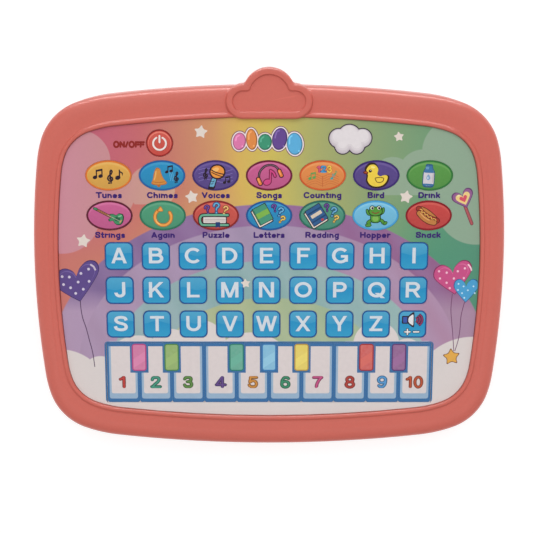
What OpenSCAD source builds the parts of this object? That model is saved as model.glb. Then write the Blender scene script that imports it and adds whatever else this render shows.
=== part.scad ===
// Toy learning tablet: a bowed two-piece housing that holds a printed film of keys over a
// membrane switch, with a circuit board, a speaker and three AA cells inside.
// It lies on its back. +Z leaves the key face, +Y points to the cloud crest, +X to the right.
// The origin lies on the rest plane, at the centre of the footprint's bounding box.

/* [Body] */
// Width across the bowed sides
body_w = 256; // [250:1:264]
// Height from the lower arch to the upper arch, without the crest
body_h = 199; // [194:1:206]
// Thickness from the rest plane to the crown of the bezel
body_t = 26; // [26:0.5:30]
// Wall thickness of both housings
wall = 2.2; // [2:0.1:2.6]
// Height of the line where the two housings meet
split_z = 11.5; // [10:0.5:13]
// Radius of the four corners of the outline
corner_r = 31; // [28:1:34]

/* [Window] */
// Width of the window in the bezel
window_w = 228.6; // [226:0.2:230]
// Height of the window in the bezel
window_h = 165.5; // [164:0.5:166]
// Corner radius of the window
window_corner_r = 22; // [20:1:24]
// Height of the rounded lip round the window, above the crown
lip_rise = 0.4; // [0.2:0.1:0.8]
// Depth of the film's surface below the crown
film_drop = 1.2; // [1:0.1:1.6]
// Thickness of the printed film
film_t = 0.5; // [0.4:0.1:0.6]
// Thickness of the membrane switch under the film
membrane_t = 1.2; // [1.1:0.1:1.4]

/* [Crest] */
// Height of the cloud crest above the upper arch
crest_rise = 9.5; // [8:0.5:11]
// Radius of the crest's middle lobe
crest_mid_r = 14.2; // [13:0.1:15]
// Radius of the crest's two side lobes
crest_side_r = 9.2; // [8:0.1:10]
// Distance of each side lobe from the middle
crest_side_x = 13.7; // [12:0.1:15]
// Height of the crest's rim above the crown
crest_step = 2; // [1:0.1:2.5]

/* [Keys] */
// Distance between letter keys along a row
letter_pitch_x = 20; // [18:0.5:21]
// Distance between rows of letter keys
letter_pitch_y = 19; // [17:0.5:19.5]
// Side of a letter key
letter_side = 15.2; // [13:0.1:15.8]
// Distance between oval keys along a row
oval_pitch_x = 28.65; // [27:0.05:29]
// Distance between the two rows of oval keys
oval_pitch_y = 21.65; // [20.5:0.05:22]
// Width of an oval key
oval_w = 24.8; // [22:0.1:25]
// Height of an oval key
oval_h = 16.2; // [14:0.1:17]
// Diameter of the power key
power_d = 14.4; // [12:0.1:15]
// Width of one white piano key, with its gap
piano_pitch = 17.94; // [16:0.02:18]
// Height of the piano
piano_h = 33.9; // [32:0.1:35]
// Gap between a key and the film round it
key_gap = 0.15; // [0.1:0.05:0.25]

/* [Batteries] */
// Diameter of an AA cell
cell_d = 14.3; // [13.5:0.1:14.5]
// Length of an AA cell with its positive button
cell_len = 50.5; // [49.5:0.1:50.5]
// Distance between neighbouring cells
cell_pitch = 15; // [14.8:0.1:15.4]

/* [Speaker] */
// Diameter of the speaker's frame
speaker_d = 40; // [36:1:40]
// Diameter of a grille hole
grille_hole_d = 2.4; // [1.8:0.1:2.8]

/* [Hidden] */
$fn = 48;
SALMON = [0.80, 0.40, 0.35];
STEEL = [0.72, 0.73, 0.75];
CUT = 1; // how far a cutter runs past the face it opens
SKIN = 0.01; // how far two joined shapes reach into each other

OVAL_NAMES = ["melody", "ringing", "singing", "music", "counting_song", "duck", "milk",
    "instrument", "repeat", "question", "question_spell", "question_word", "frog", "hot_dog"];
LETTERS = "abcdefghijklmnopqrstuvwxyz";
STRUCTURE = ["front_housing", "rear_housing", "face_film", "membrane_switch", "circuit_board",
    "board_components", "board_screws", "speaker_frame", "speaker_cone", "battery_cells",
    "battery_contacts", "battery_door", "door_screw", "case_screws", "wiring"];

// Levels above the rest plane
film_z = body_t - film_drop;
membrane_z = film_z - film_t - membrane_t;
panel_t = 2;
panel_under = membrane_z - panel_t;
crest_z = body_t + crest_step;

// Places across the face
low_y = -(body_h + crest_rise) / 2;
wide_y = low_y + 103;
arch_y = low_y + body_h;
crest_mid_y = arch_y + crest_rise - crest_mid_r;
crest_base_y = crest_mid_y - 12.7;
window_low_y = low_y + 17;

// Outlines. A bowed rectangle is a chain of five arcs in each quarter: side, easing, corner,
// easing, arch. BREAKS are the directions of the normal at which one arc meets the next.
BREAKS = [0, 7, 18, 70, 83.5, 90];
EASE_SIDE = 60;
EASE_ARCH = 80;
CORNER_TURNS = [for (a = [BREAKS[2]:5.2:BREAKS[3]]) a];
SIDE_TURNS = [0, 1.75, 3.5, 5.25, BREAKS[1], 10.5, 14];
ARCH_TURNS = [74.5, 79, BREAKS[4], 85.2, 86.8, 88.4];
QUARTER = concat(SIDE_TURNS, CORNER_TURNS, ARCH_TURNS);
HALF = concat(QUARTER, [90], [for (i = [len(QUARTER) - 1:-1:1]) 180 - QUARTER[i]]);
TURN = concat(HALF, [for (a = HALF) a + 180]);

function total(list, i = 0) = i < len(list) ? list[i] + total(list, i + 1) : 0;

// Radii of the five arcs: the side and the arch close the quarter on its half sizes
function quarter_radii(half_w, half_h, corner, scale_ease = 1) =
    let (
        c = [for (b = BREAKS) cos(b)],
        s = [for (b = BREAKS) sin(b)],
        ease_a = EASE_SIDE * scale_ease,
        ease_b = EASE_ARCH * scale_ease,
        w = half_w - ease_a * (c[1] - c[2]) - corner * (c[2] - c[3]) - ease_b * (c[3] - c[4]),
        h = half_h - ease_a * (s[2] - s[1]) - corner * (s[3] - s[2]) - ease_b * (s[4] - s[3]),
        det = (c[0] - c[1]) * (s[5] - s[4]) - (c[4] - c[5]) * (s[1] - s[0])
    )
    [
        (w * (s[5] - s[4]) - h * (c[4] - c[5])) / det,
        ease_a,
        corner,
        ease_b,
        (h * (c[0] - c[1]) - w * (s[1] - s[0])) / det
    ];

function reached(i, a) = max(BREAKS[i], min(a, BREAKS[i + 1]));

function quarter_point(half_w, radii, a) = [
    half_w - total([for (i = [0:4]) radii[i] * (cos(BREAKS[i]) - cos(reached(i, a)))]),
    total([for (i = [0:4]) radii[i] * (sin(reached(i, a)) - sin(BREAKS[i]))])
];

// A shape is its half width and the arcs of its upper and lower quarters
function shape(half_w, up_h, down_h, corner, scale_ease = 1) = [
    half_w,
    quarter_radii(half_w, up_h, corner, scale_ease),
    quarter_radii(half_w, down_h, corner, scale_ease)
];

// The outline of a shape, moved inwards by inset
function rim(s, inset = 0) = [
    for (a = TURN)
        let (
            f = a % 180 <= 90 ? a % 180 : 180 - a % 180,
            x_sign = a <= 90 || a >= 270 ? 1 : -1,
            y_sign = a < 180 ? 1 : -1,
            p = quarter_point(s[0], a < 180 ? s[1] : s[2], f)
        )
        [x_sign * (p.x - inset * cos(f)), wide_y + y_sign * (p.y - inset * sin(f))]
];

function ring(s, inset, z) = [for (p = rim(s, inset)) [p.x, p.y, z]];

BODY = shape(body_w / 2, arch_y - wide_y, wide_y - low_y, corner_r);
WINDOW = shape(window_w / 2, window_low_y + window_h - wide_y, wide_y - window_low_y,
    window_corner_r, 0.75);

// A solid through a list of rings, closed by a flat cap at each end
module loft(rings) {
    n = len(rings[0]);
    walls = [
        for (k = [0:len(rings) - 2], i = [0:n - 1])
            let (j = (i + 1) % n, low = k * n, high = (k + 1) * n)
            each [[low + i, high + i, high + j], [low + i, high + j, low + j]]
    ];
    start_cap = [for (i = [0:n - 1]) i];
    end_cap = [for (i = [n - 1:-1:0]) (len(rings) - 1) * n + i];
    polyhedron([for (r = rings) each r], concat(walls, [start_cap, end_cap]));
}

// A flat sheet with the outline of a shape
module sheet(s, inset, z, t) {
    translate([0, 0, z])
        linear_extrude(t)
            polygon(rim(s, inset));
}

module rounded_rect(w, h, r) {
    square([w - 2 * r, h], center = true);
    square([w, h - 2 * r], center = true);
    for (x = [-1, 1], y = [-1, 1])
        translate([x * (w / 2 - r), y * (h / 2 - r)])
            circle(r);
}

module at_each(points) {
    for (p = points)
        translate([p.x, p.y, 0])
            children();
}

// Fasteners that join the housings, and where they stand
CASE_POINTS = [[104, 58], [-104, 58], [104, -62], [-104, -62], [0, 81], [0, -90]];
case_tube_z = 8; // where the rear tube meets the front boss
case_head_z = 2.8;
case_head_h = 2.2;
case_head_r = 2.9;
case_shank_r = 1.4;
case_tip_z = 18.5;
fit_gap = 0.03; // radial gap of a screw in its pilot bore

// Circuit board
BOARD_SIZE = [70, 50];
BOARD_MID = [62, 20];
BOARD_POINTS = [for (x = [-1, 1], y = [-1, 1]) BOARD_MID + [x * 31.5, y * 21.5]];
board_t = 1.6;
board_z = 13.5;
board_top = board_z + board_t;
board_shank_r = 1;
board_tip_z = 19.5;
tail_y = 49; // where the membrane's tail comes down
tail_w = 14;
tail_t = 0.5;
tail_z = 16.6;
HEADER_X = [38, 44, 50]; // wire headers along the board's lower edge
header = [5, 4, 4];
tail_end_y = BOARD_MID.y + 18;

// Speaker
SPEAKER_MID = [-78, -14];
speaker_r = speaker_d / 2;
speaker_ring_h = 4;
cone_travel = 0.4;

// Battery bay and door
BAY_MID = [0, -45];
bay_len = 57;
bay_w = 2 * cell_pitch + cell_d + 1.7;
bay_wall = 2;
door_z = 0.3;
door_t = 2;
door_top = door_z + door_t;
cell_z = door_top + 0.4 + cell_d / 2;
bay_top = cell_z + cell_d / 2 + 0.4;
hinge_y = BAY_MID.y - bay_w / 2 - 4;
hinge_z = 1.7;
pin_r = 1;
barrel_r = 1.4;
knuckle_x = 20;
knuckle_w = 8;
pin_len = 2.5;
door_edge_y = hinge_y + 2.6;
door_end_y = BAY_MID.y + bay_w / 2 + 12;
door_half_w = 33;
door_gap = 0.3;
door_screw_y = BAY_MID.y + bay_w / 2 + 6.5;
door_head_r = 2.6;
door_head_h = 1.2;
door_shank_r = 1.2;
door_tip_z = 8.5;
door_bore_r = 1.9;
door_boss_r = 4;
door_boss_h = 11;
contact_t = 0.5;
tag_w = 3;
tag_z = 9;
tag_room = 0.4;

function cell_y(i) = BAY_MID.y + (i - 1) * cell_pitch;
function cell_sign(i) = i == 1 ? -1 : 1; // the end that the positive button faces

// Keys
letter_corner = 3.2;
letter_x = -1.4;
letter_y = -15.8;
oval_y = 47.1;
piano_y = -62.45;
POWER = [-58.3, 64.4];
COLOUR_LINES = [1, 2, 4, 5, 6, 8, 9]; // the lines between white keys that carry a colour key
colour_w = 8.9;
colour_h = 16.4;
piano_top = piano_y + piano_h / 2;
key_z = film_z - film_t;
pocket_grow = 0.4;
pocket_depth = 0.7;

function letter_at(i) = [
    letter_x + (i % 9 - 4) * letter_pitch_x,
    letter_y + (1 - floor(i / 9)) * letter_pitch_y
];
function oval_at(i) = [(i % 7 - 3) * oval_pitch_x, oval_y - floor(i / 7) * oval_pitch_y];
function piano_line(i) = (i - 5) * piano_pitch;

// The crest's base stands a little way into the window, and the sheets under it are notched
module window_sheet(inset, z, t) {
    notch = -0.2;
    difference() {
        sheet(WINDOW, inset, z, t);
        translate([0, 0, z - CUT])
            linear_extrude(t + 2 * CUT)
                crest_outline(notch, notch);
    }
}

module letter_outline(grow = 0) {
    side = letter_side + 2 * grow;
    rounded_rect(side, side, letter_corner);
}

module oval_outline(grow = 0) {
    polygon([
        for (a = [0:7.5:352.5])
            [(oval_w / 2 + grow) * cos(a), (oval_h / 2 + grow) * sin(a)]
    ]);
}

module power_outline(grow = 0) {
    circle(power_d / 2 + grow);
}

module piano_outline(grow = 0) {
    translate([0, piano_y])
        square([10 * piano_pitch + 2 * grow, piano_h + 2 * grow], center = true);
}

module all_keys(grow) {
    for (i = [0:26])
        translate(letter_at(i))
            letter_outline(grow);
    for (i = [0:13])
        translate(oval_at(i))
            oval_outline(grow);
    translate(POWER)
        power_outline(grow);
    piano_outline(grow);
}

// Cloud outline of the crest, moved inwards by inset
module crest_outline(inset = 0, base_inset = 0) {
    base_y = crest_base_y + base_inset;
    side_y = crest_base_y + crest_side_r;
    intersection() {
        union() {
            translate([0, crest_mid_y])
                circle(crest_mid_r - inset);
            for (x = [-1, 1])
                translate([x * crest_side_x, side_y + (base_inset - inset) / 2])
                    circle(crest_side_r - inset / 2 - base_inset / 2);
            translate([-crest_side_x, base_y])
                square([2 * crest_side_x, crest_mid_y - base_y]);
        }
        translate([-2 * crest_side_x, base_y])
            square([4 * crest_side_x, 3 * crest_mid_r]);
    }
}

// ---- Housings ----

CROWN_W = 8; // how far in from the edge the bezel rises to its crown
CROWN_H = 6;
VALLEY_W = 4.6; // from the window's edge to the low line of the bezel
VALLEY_DROP = 0.4;
LIP_W = 2.4;
TONGUE_H = 1.2; // the rear housing's tongue runs up inside the front housing's wall
TONGUE_W = 1.2;
TONGUE_GAP = 0.1;
SEAM = 0.3; // bevel on both housings where they meet
FLOOR_W = 10; // how far in from the edge the underside starts to curve up
FLOOR_H = 8;
CAVITY_W = wall + 0.2;
CAVITY_BEVEL = 4;

module front_shell() {
    groove_z = split_z + TONGUE_H + TONGUE_GAP;
    crown_z = body_t - CROWN_H;
    valley_z = body_t - VALLEY_DROP;
    lip_h = VALLEY_DROP + lip_rise;
    loft(concat(
        [ring(BODY, CAVITY_W + CAVITY_BEVEL, panel_under)],
        [ring(BODY, CAVITY_W, panel_under - CAVITY_BEVEL), ring(BODY, CAVITY_W, groove_z)],
        [ring(BODY, TONGUE_W, groove_z), ring(BODY, TONGUE_W, split_z)],
        [ring(BODY, SEAM, split_z), ring(BODY, 0, split_z + SEAM)],
        [for (t = [0:15:90]) ring(BODY, CROWN_W * (1 - cos(t)), crown_z + CROWN_H * sin(t))],
        [ring(WINDOW, -VALLEY_W, valley_z), ring(WINDOW, -LIP_W, valley_z)],
        [for (t = [30:30:150]) ring(WINDOW, -LIP_W / 2 * (1 + cos(t)), valley_z + lip_h * sin(t))],
        [ring(WINDOW, 0, valley_z), ring(WINDOW, 0, membrane_z)]
    ));
}

module crest() {
    rim_w = 3.6;
    base_w = 3.9;
    panel_drop = 1.4;
    pad_z = body_t - 4; // underside of the crest over the bezel
    tab_z = 13; // lower edge of the crest past the body's outline
    difference() {
        union() {
            translate([0, 0, pad_z])
                linear_extrude(crest_z - pad_z)
                    crest_outline();
            translate([0, 0, tab_z])
                linear_extrude(pad_z - tab_z + SKIN)
                    difference() {
                        crest_outline();
                        polygon(rim(BODY, 1));
                    }
        }
        translate([0, 0, crest_z - panel_drop])
            linear_extrude(panel_drop + CUT)
                crest_outline(rim_w, base_w);
        translate([0, 0, tab_z - CUT])
            linear_extrude(pad_z - tab_z)
                difference() {
                    crest_outline(wall, 0);
                    polygon(rim(BODY, -wall));
                }
    }
}

module front_housing() {
    boss_r = 4;
    post_r = 3;
    rib_t = 1.4;
    rib_h = 1.8;
    rib_len = [170, 96];
    slit_w = 2;
    color(SALMON)
        difference() {
            union() {
                front_shell();
                crest();
                at_each(CASE_POINTS)
                    translate([0, 0, case_tube_z])
                        cylinder(r = boss_r, h = panel_under - case_tube_z + SKIN);
                at_each(BOARD_POINTS)
                    translate([0, 0, board_top])
                        cylinder(r = post_r, h = panel_under - board_top + SKIN);
                for (y = [-76, 62])
                    translate([-rib_len.x / 2, y - rib_t / 2, panel_under - rib_h])
                        cube([rib_len.x, rib_t, rib_h + SKIN]);
                for (x = [-100, 20, 102])
                    translate([x - rib_t / 2, -rib_len.y / 2, panel_under - rib_h])
                        cube([rib_t, rib_len.y, rib_h + SKIN]);
            }
            at_each(CASE_POINTS)
                translate([0, 0, case_tube_z - CUT])
                    cylinder(r = case_shank_r + fit_gap, h = case_tip_z + 0.6 - case_tube_z + CUT);
            at_each(BOARD_POINTS)
                translate([0, 0, board_top - CUT])
                    cylinder(r = board_shank_r + fit_gap, h = board_tip_z + 0.5 - board_top + CUT);
            translate([BOARD_MID.x - tail_w / 2 - 1, tail_y - slit_w / 2, panel_under - CUT])
                cube([tail_w + 2, slit_w, panel_t + 2 * CUT]);
        }
}

module rear_shell() {
    tongue = TONGUE_W + TONGUE_GAP;
    loft(concat(
        [for (t = [90:-15:0]) ring(BODY, FLOOR_W * (1 - cos(t)), FLOOR_H * (1 - sin(t)))],
        [ring(BODY, 0, split_z - SEAM), ring(BODY, SEAM, split_z), ring(BODY, tongue, split_z)],
        [ring(BODY, tongue, split_z + TONGUE_H), ring(BODY, CAVITY_W, split_z + TONGUE_H)],
        [ring(BODY, CAVITY_W, FLOOR_H), ring(BODY, CAVITY_W + FLOOR_W - wall, wall)]
    ));
}

// Speaker grille: rings of round holes
module grille() {
    hole_pitch = 4.6;
    rings = 3;
    for (k = [0:rings], i = [0:max(0, 6 * k - 1)])
        rotate(i * 60 / max(1, k))
            translate([k * hole_pitch, 0, -CUT])
                cylinder(d = grille_hole_d, h = wall + 2 * CUT);
}

// Material that carries the battery bay, before it is cut open
module bay_block() {
    flange_w = 3; // material round the door's opening
    flange_h = 4;
    hinge_w = 2 * (knuckle_x + 8);
    hinge_h = 4.4;
    hinge_t = 4;
    roof_t = 1.6;
    block_y = hinge_y - 3.5;
    translate([-door_half_w - flange_w, block_y, 0])
        cube([2 * (door_half_w + flange_w), door_end_y + flange_w - block_y, flange_h]);
    translate([-hinge_w / 2, block_y, 0])
        cube([hinge_w, hinge_t, hinge_h]);
    translate([-bay_len / 2 - bay_wall, BAY_MID.y - bay_w / 2 - bay_wall, 0])
        cube([bay_len + 2 * bay_wall, bay_w + 2 * bay_wall, bay_top + roof_t]);
    translate([0, door_screw_y, 0])
        cylinder(r = door_boss_r, h = door_boss_h);
}

module bay_cuts() {
    ledge_z = 2.5;
    ledge_y = hinge_y + 1.7;
    notch_top = 3.4;
    notch_w = knuckle_w + 0.8;
    pin_room = knuckle_w + 2 * pin_len + 0.4;
    translate([-bay_len / 2, BAY_MID.y - bay_w / 2, -CUT])
        cube([bay_len, bay_w, bay_top + CUT]);
    translate([-door_half_w - door_gap, ledge_y, -CUT])
        cube([2 * (door_half_w + door_gap), door_end_y + door_gap - ledge_y, ledge_z + CUT]);
    translate([0, door_screw_y, -CUT])
        cylinder(r = door_bore_r, h = door_boss_h - 1 + CUT);
    for (x = [-knuckle_x, knuckle_x]) {
        translate([x - notch_w / 2, hinge_y - 1.6, -CUT])
            cube([notch_w, 4, notch_top + CUT]);
        translate([x - pin_room / 2, hinge_y, hinge_z])
            rotate([0, 90, 0])
                cylinder(r = pin_r + 0.05, h = pin_room);
    }
    for (x = [-1, 1])
        translate([x * (bay_len / 2 + bay_wall / 2), cell_y(1 + x), tag_z])
            cube([bay_wall + CUT, tag_w + tag_room, contact_t + tag_room], center = true);
}

module rear_housing() {
    tube_r = 4.6;
    collar_t = 1.8; // wall of the ring that holds the speaker
    collar_gap = 0.2;
    color(SALMON)
        difference() {
            union() {
                rear_shell();
                bay_block();
                at_each(CASE_POINTS)
                    cylinder(r = tube_r, h = case_tube_z);
                translate([SPEAKER_MID.x, SPEAKER_MID.y, wall - SKIN])
                    difference() {
                        cylinder(r = speaker_r + collar_t, h = speaker_ring_h);
                        translate([0, 0, -CUT])
                            cylinder(r = speaker_r + collar_gap, h = speaker_ring_h + 2 * CUT);
                    }
            }
            bay_cuts();
            at_each(CASE_POINTS) {
                translate([0, 0, -CUT])
                    cylinder(r = case_head_r + 0.4, h = case_head_z + case_head_h + CUT);
                cylinder(r = case_shank_r + 0.3, h = case_tube_z + CUT);
            }
            translate([SPEAKER_MID.x, SPEAKER_MID.y, 0])
                grille();
        }
}

module battery_door() {
    plate_len = door_end_y - door_edge_y;
    plate_corner = 2;
    neck_t = 1.2;
    rib = [48, 1.2, 1.6]; // a rib between neighbouring cells
    rib_z = door_top - SKIN;
    color(SALMON)
        difference() {
            union() {
                translate([0, door_edge_y + plate_len / 2, door_z])
                    linear_extrude(door_t)
                        rounded_rect(2 * door_half_w, plate_len, plate_corner);
                for (x = [-knuckle_x, knuckle_x]) {
                    translate([x - knuckle_w / 2, hinge_y, hinge_z - neck_t / 2])
                        cube([knuckle_w, door_edge_y + 1 - hinge_y, neck_t]);
                    translate([x - knuckle_w / 2, hinge_y, hinge_z])
                        rotate([0, 90, 0])
                            cylinder(r = barrel_r, h = knuckle_w);
                    translate([x - knuckle_w / 2 - pin_len, hinge_y, hinge_z])
                        rotate([0, 90, 0])
                            cylinder(r = pin_r, h = knuckle_w + 2 * pin_len);
                }
                for (i = [0, 1])
                    translate([-rib.x / 2, (cell_y(i) + cell_y(i + 1) - rib.y) / 2, rib_z])
                        cube(rib);
            }
            translate([0, door_screw_y, door_z - CUT])
                cylinder(r = door_head_r + 0.2, h = door_head_h + CUT);
            translate([0, door_screw_y, door_z])
                cylinder(r = door_shank_r + 0.1, h = door_t + CUT);
        }
}

// ---- Face: printed film, membrane switch and keys ----

module face_film() {
    color([0.83, 0.70, 0.66])
        difference() {
            window_sheet(0.2, key_z, film_t);
            translate([0, 0, key_z - CUT])
                linear_extrude(film_t + 2 * CUT)
                    all_keys(key_gap);
        }
}

module membrane_switch() {
    tail_x = BOARD_MID.x - tail_w / 2;
    color([0.88, 0.90, 0.88])
        union() {
            difference() {
                window_sheet(0.3, membrane_z, membrane_t);
                translate([0, 0, key_z - pocket_depth])
                    linear_extrude(pocket_depth + CUT)
                        all_keys(pocket_grow);
            }
            translate([tail_x, tail_y - tail_t / 2, tail_z])
                cube([tail_w, tail_t, membrane_z - tail_z + SKIN]);
            translate([tail_x, tail_end_y, tail_z])
                cube([tail_w, tail_y - tail_end_y, tail_t]);
        }
}

module key_block() {
    translate([0, 0, key_z])
        linear_extrude(film_t)
            children();
}

module letter_key(i) {
    color([0.20, 0.62, 0.82])
        translate(letter_at(i))
            key_block()
                letter_outline();
}

module oval_key(i) {
    color([0.78, 0.45, 0.42])
        translate(oval_at(i))
            key_block()
                oval_outline();
}

module key_power() {
    color([0.84, 0.36, 0.32])
        translate(POWER)
            key_block()
                power_outline();
}

module colour_shape(line, grow = 0) {
    w = colour_w + 2 * grow;
    translate([piano_line(line) - w / 2, piano_top - colour_h - grow])
        square([w, colour_h + grow + CUT * sign(grow)]);
}

module white_keys() {
    color([0.93, 0.91, 0.90])
        key_block()
            for (i = [0:9])
                difference() {
                    translate([piano_line(i) + key_gap, piano_y - piano_h / 2])
                        square([piano_pitch - 2 * key_gap, piano_h]);
                    for (line = COLOUR_LINES)
                        colour_shape(line, 2 * key_gap);
                }
}

module colour_keys() {
    color([0.45, 0.75, 0.45])
        key_block()
            for (line = COLOUR_LINES)
                colour_shape(line);
}

// ---- Electronics ----

module circuit_board() {
    color([0.10, 0.40, 0.22])
        translate([0, 0, board_z])
            difference() {
                translate([BOARD_MID.x - BOARD_SIZE.x / 2, BOARD_MID.y - BOARD_SIZE.y / 2, 0])
                    cube([BOARD_SIZE.x, BOARD_SIZE.y, board_t]);
                at_each(BOARD_POINTS)
                    translate([0, 0, -CUT])
                        cylinder(r = board_shank_r + 0.2, h = board_t + 2 * CUT);
            }
}

// Chip under an epoxy dome, capacitors, chip parts, wire headers and the tail's connector
module board_components() {
    dome_r = 7;
    dome_h = 2.2;
    dome_ball = (dome_r * dome_r + dome_h * dome_h) / (2 * dome_h);
    can_r = 2.5;
    can_h = 5;
    chip = [1.6, 0.8, 0.6];
    socket = [tail_w + 4, 5, 3];
    slack = 0.1;
    color([0.12, 0.12, 0.13]) {
        translate([BOARD_MID.x, BOARD_MID.y, 0])
            intersection() {
                translate([0, 0, board_z + dome_ball - dome_h])
                    sphere(dome_ball);
                translate([0, 0, board_z - can_h])
                    cylinder(r = dome_r, h = can_h);
            }
        for (p = [[-22, -12], [-22, -4], [20, 12]])
            translate([BOARD_MID.x + p.x, BOARD_MID.y + p.y, board_z - can_h])
                cylinder(r = can_r, h = can_h);
        for (x = [-12, -8, 12, 16, 20], y = [-14, 14])
            translate([BOARD_MID.x + x, BOARD_MID.y + y, board_z - chip.z / 2])
                cube(chip, center = true);
        for (x = HEADER_X)
            translate([x - header.x / 2, -header.y / 2, board_z - header.z])
                cube(header);
        difference() {
            translate([BOARD_MID.x - socket.x / 2, BOARD_MID.y + 17, board_top])
                cube(socket);
            translate([BOARD_MID.x - tail_w / 2 - slack, tail_end_y, tail_z - slack])
                cube([tail_w + 2 * slack, socket.y, tail_t + 2 * slack]);
        }
    }
}

module board_screws() {
    head_r = 2;
    head_h = 1.4;
    color(STEEL)
        at_each(BOARD_POINTS) {
            translate([0, 0, board_z - head_h])
                difference() {
                    cylinder(r = head_r, h = head_h);
                    cross_slot(1.2 * head_r);
                }
            translate([0, 0, board_z])
                cylinder(r = board_shank_r, h = board_tip_z - board_z);
        }
}

module cross_slot(w) {
    depth = 0.7;
    slot_w = 0.6;
    for (a = [0, 90])
        rotate(a)
            translate([-w / 2, -slot_w / 2, -CUT])
                cube([w, slot_w, depth + CUT]);
}

module speaker_frame() {
    color(STEEL)
        translate([SPEAKER_MID.x, SPEAKER_MID.y, wall])
            union() {
                rotate_extrude()
                    polygon([[speaker_r - 2, 0], [speaker_r, 0], [speaker_r, 1.2],
                        [speaker_r - 1.5, 1.2], [11, 7], [11, 9], [4.2, 9], [4.2, 8],
                        [9.6, 8], [9.6, 6.4], [speaker_r - 3, 1.8], [speaker_r - 2, 1]]);
                translate([0, 0, 9])
                    cylinder(r = 9, h = 4.5);
            }
}

// Paper cone with its dust cap and the voice coil's former
module speaker_cone() {
    lip = speaker_r - 2.4;
    color([0.15, 0.15, 0.16])
        translate([SPEAKER_MID.x, SPEAKER_MID.y, wall])
            rotate_extrude()
                polygon([[0, 3.4], [2, 3.2], [3.4, 2.6], [lip - 1.6, 0.5], [lip, 0.5],
                    [lip, 0.9], [lip - 1.5, 0.9], [3.8, 4.2], [3.8, 8.2], [3.3, 8.2],
                    [3.3, 4.0], [0, 4.0]]);
}

module battery_cells() {
    button_h = 1;
    button_d = 5.5;
    end_x = bay_len / 2 - contact_t;
    color([0.85, 0.70, 0.30])
        for (i = [0:2])
            translate([0, cell_y(i), cell_z])
                rotate([0, 90 * cell_sign(i), 0])
                    translate([0, 0, end_x - cell_len]) {
                        cylinder(d = cell_d, h = cell_len - button_h);
                        cylinder(d = button_d, h = cell_len);
                    }
}

// A round wire swept along a list of points, none of whose stretches runs along side
module wire(points, r, side, sides = 6) {
    last = len(points) - 1;
    function way(i) = points[min(i + 1, last)] - points[max(i - 1, 0)];
    function unit(v) = v / norm(v);
    loft([
        for (i = [0:last])
            let (t = unit(way(i)), u = unit(cross(side, t)), v = cross(t, u))
            [for (k = [0:sides - 1]) points[i] + r * (cos(k * 360 / sides) * u
                + sin(k * 360 / sides) * v)]
    ]);
}

module contact_spring() {
    turns = 3.5;
    wide_r = 3.6;
    tip_r = 2.4;
    wire_r = 0.35;
    length = bay_len - 2 * contact_t - cell_len - 2 * wire_r;
    step = 24;
    wire([
        for (a = [0:step:turns * 360])
            let (s = a / (turns * 360), r = wide_r + (tip_r - wide_r) * s)
            [wire_r + length * s, r * cos(a), r * sin(a)]
    ], wire_r, [1, 0, 0]);
}

module battery_contacts() {
    plate_h = 11;
    plate_w = 10;
    end_x = bay_len / 2;
    color(STEEL) {
        for (x = [-1, 1]) {
            single = 1 + x;
            pair = (cell_y(1) + cell_y(1 - x)) / 2;
            translate([x * (end_x - contact_t / 2), cell_y(single), cell_z])
                cube([contact_t, plate_w, plate_h], center = true);
            translate([x * (end_x - contact_t / 2), pair, cell_z])
                cube([contact_t, plate_w + cell_pitch, plate_h], center = true);
            translate([x * (end_x + 1.8), cell_y(single), tag_z])
                cube([4, tag_w, contact_t], center = true);
        }
        for (i = [0:2])
            translate([-cell_sign(i) * (end_x - contact_t), cell_y(i), cell_z])
                rotate([0, 0, cell_sign(i) > 0 ? 0 : 180])
                    contact_spring();
    }
}

// A pan-head screw that points up: its head lies below z
module pan_screw(head_r, head_h, shank_r, z, tip_z) {
    difference() {
        translate([0, 0, z - head_h])
            cylinder(r = head_r, h = head_h);
        translate([0, 0, z - head_h])
            cross_slot(1.4 * head_r);
    }
    translate([0, 0, z])
        cylinder(r = shank_r, h = tip_z - z);
}

module case_screws() {
    color(STEEL)
        at_each(CASE_POINTS)
            pan_screw(case_head_r, case_head_h, case_shank_r, case_head_z + case_head_h,
                case_tip_z);
}

module door_screw() {
    color(STEEL)
        translate([0, door_screw_y, 0])
            pan_screw(door_head_r, door_head_h, door_shank_r, door_z + door_head_h, door_tip_z);
}

// Insulated leads: the battery pair, then the speaker pair, all ending under the wire headers
LEADS = [
    [[32.3, -30, 9], [36, -29, 9], [44, -24, 8], [50, -12, 6], [50, -2, 6], [50, 0, 7.5],
        [50, 0, 9.5]],
    [[-32.3, -60, 9], [-36, -59, 9], [-40, -52, 8], [-40, -20, 8], [-34, -8, 8], [-24, -6, 7],
        [24, -6, 6], [42, -5, 6], [44, -2, 6], [44, 0, 7.5], [44, 0, 9.5]],
    [[-69, -12, 13], [-62, -10, 13], [-50, 4, 10], [-38, 7, 8], [8, 7, 6], [30, 4, 6],
        [37, 2, 6], [37, 1, 7.5], [37, 1, 9.5]],
    [[-69, -16, 13], [-62, -14, 13], [-48, 0, 10], [-36, 4, 8], [8, 4, 6], [30, 0, 6],
        [37, -2, 6], [39, -1, 7.5], [39, -1, 9.5]]
];

module wiring() {
    lead_r = 0.6;
    color([0.75, 0.12, 0.12])
        for (points = LEADS)
            wire(points, lead_r, [0.3, 1, 0.4], 8);
}

front_housing();
rear_housing();
face_film();
membrane_switch();
circuit_board();
board_components();
board_screws();
speaker_frame();
speaker_cone();
battery_cells();
battery_contacts();
battery_door();
door_screw();
case_screws();
wiring();
for (i = [0:len(OVAL_NAMES) - 1])
    oval_key(i);
for (i = [0:len(LETTERS) - 1])
    letter_key(i);
letter_key(26);  // key_volume
key_power();
white_keys();
colour_keys();
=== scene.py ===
"""Looks of a toy learning tablet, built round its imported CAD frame."""

import functools
import math

import bpy
import numpy as np
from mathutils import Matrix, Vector
from mathutils.geometry import tessellate_polygon


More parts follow.
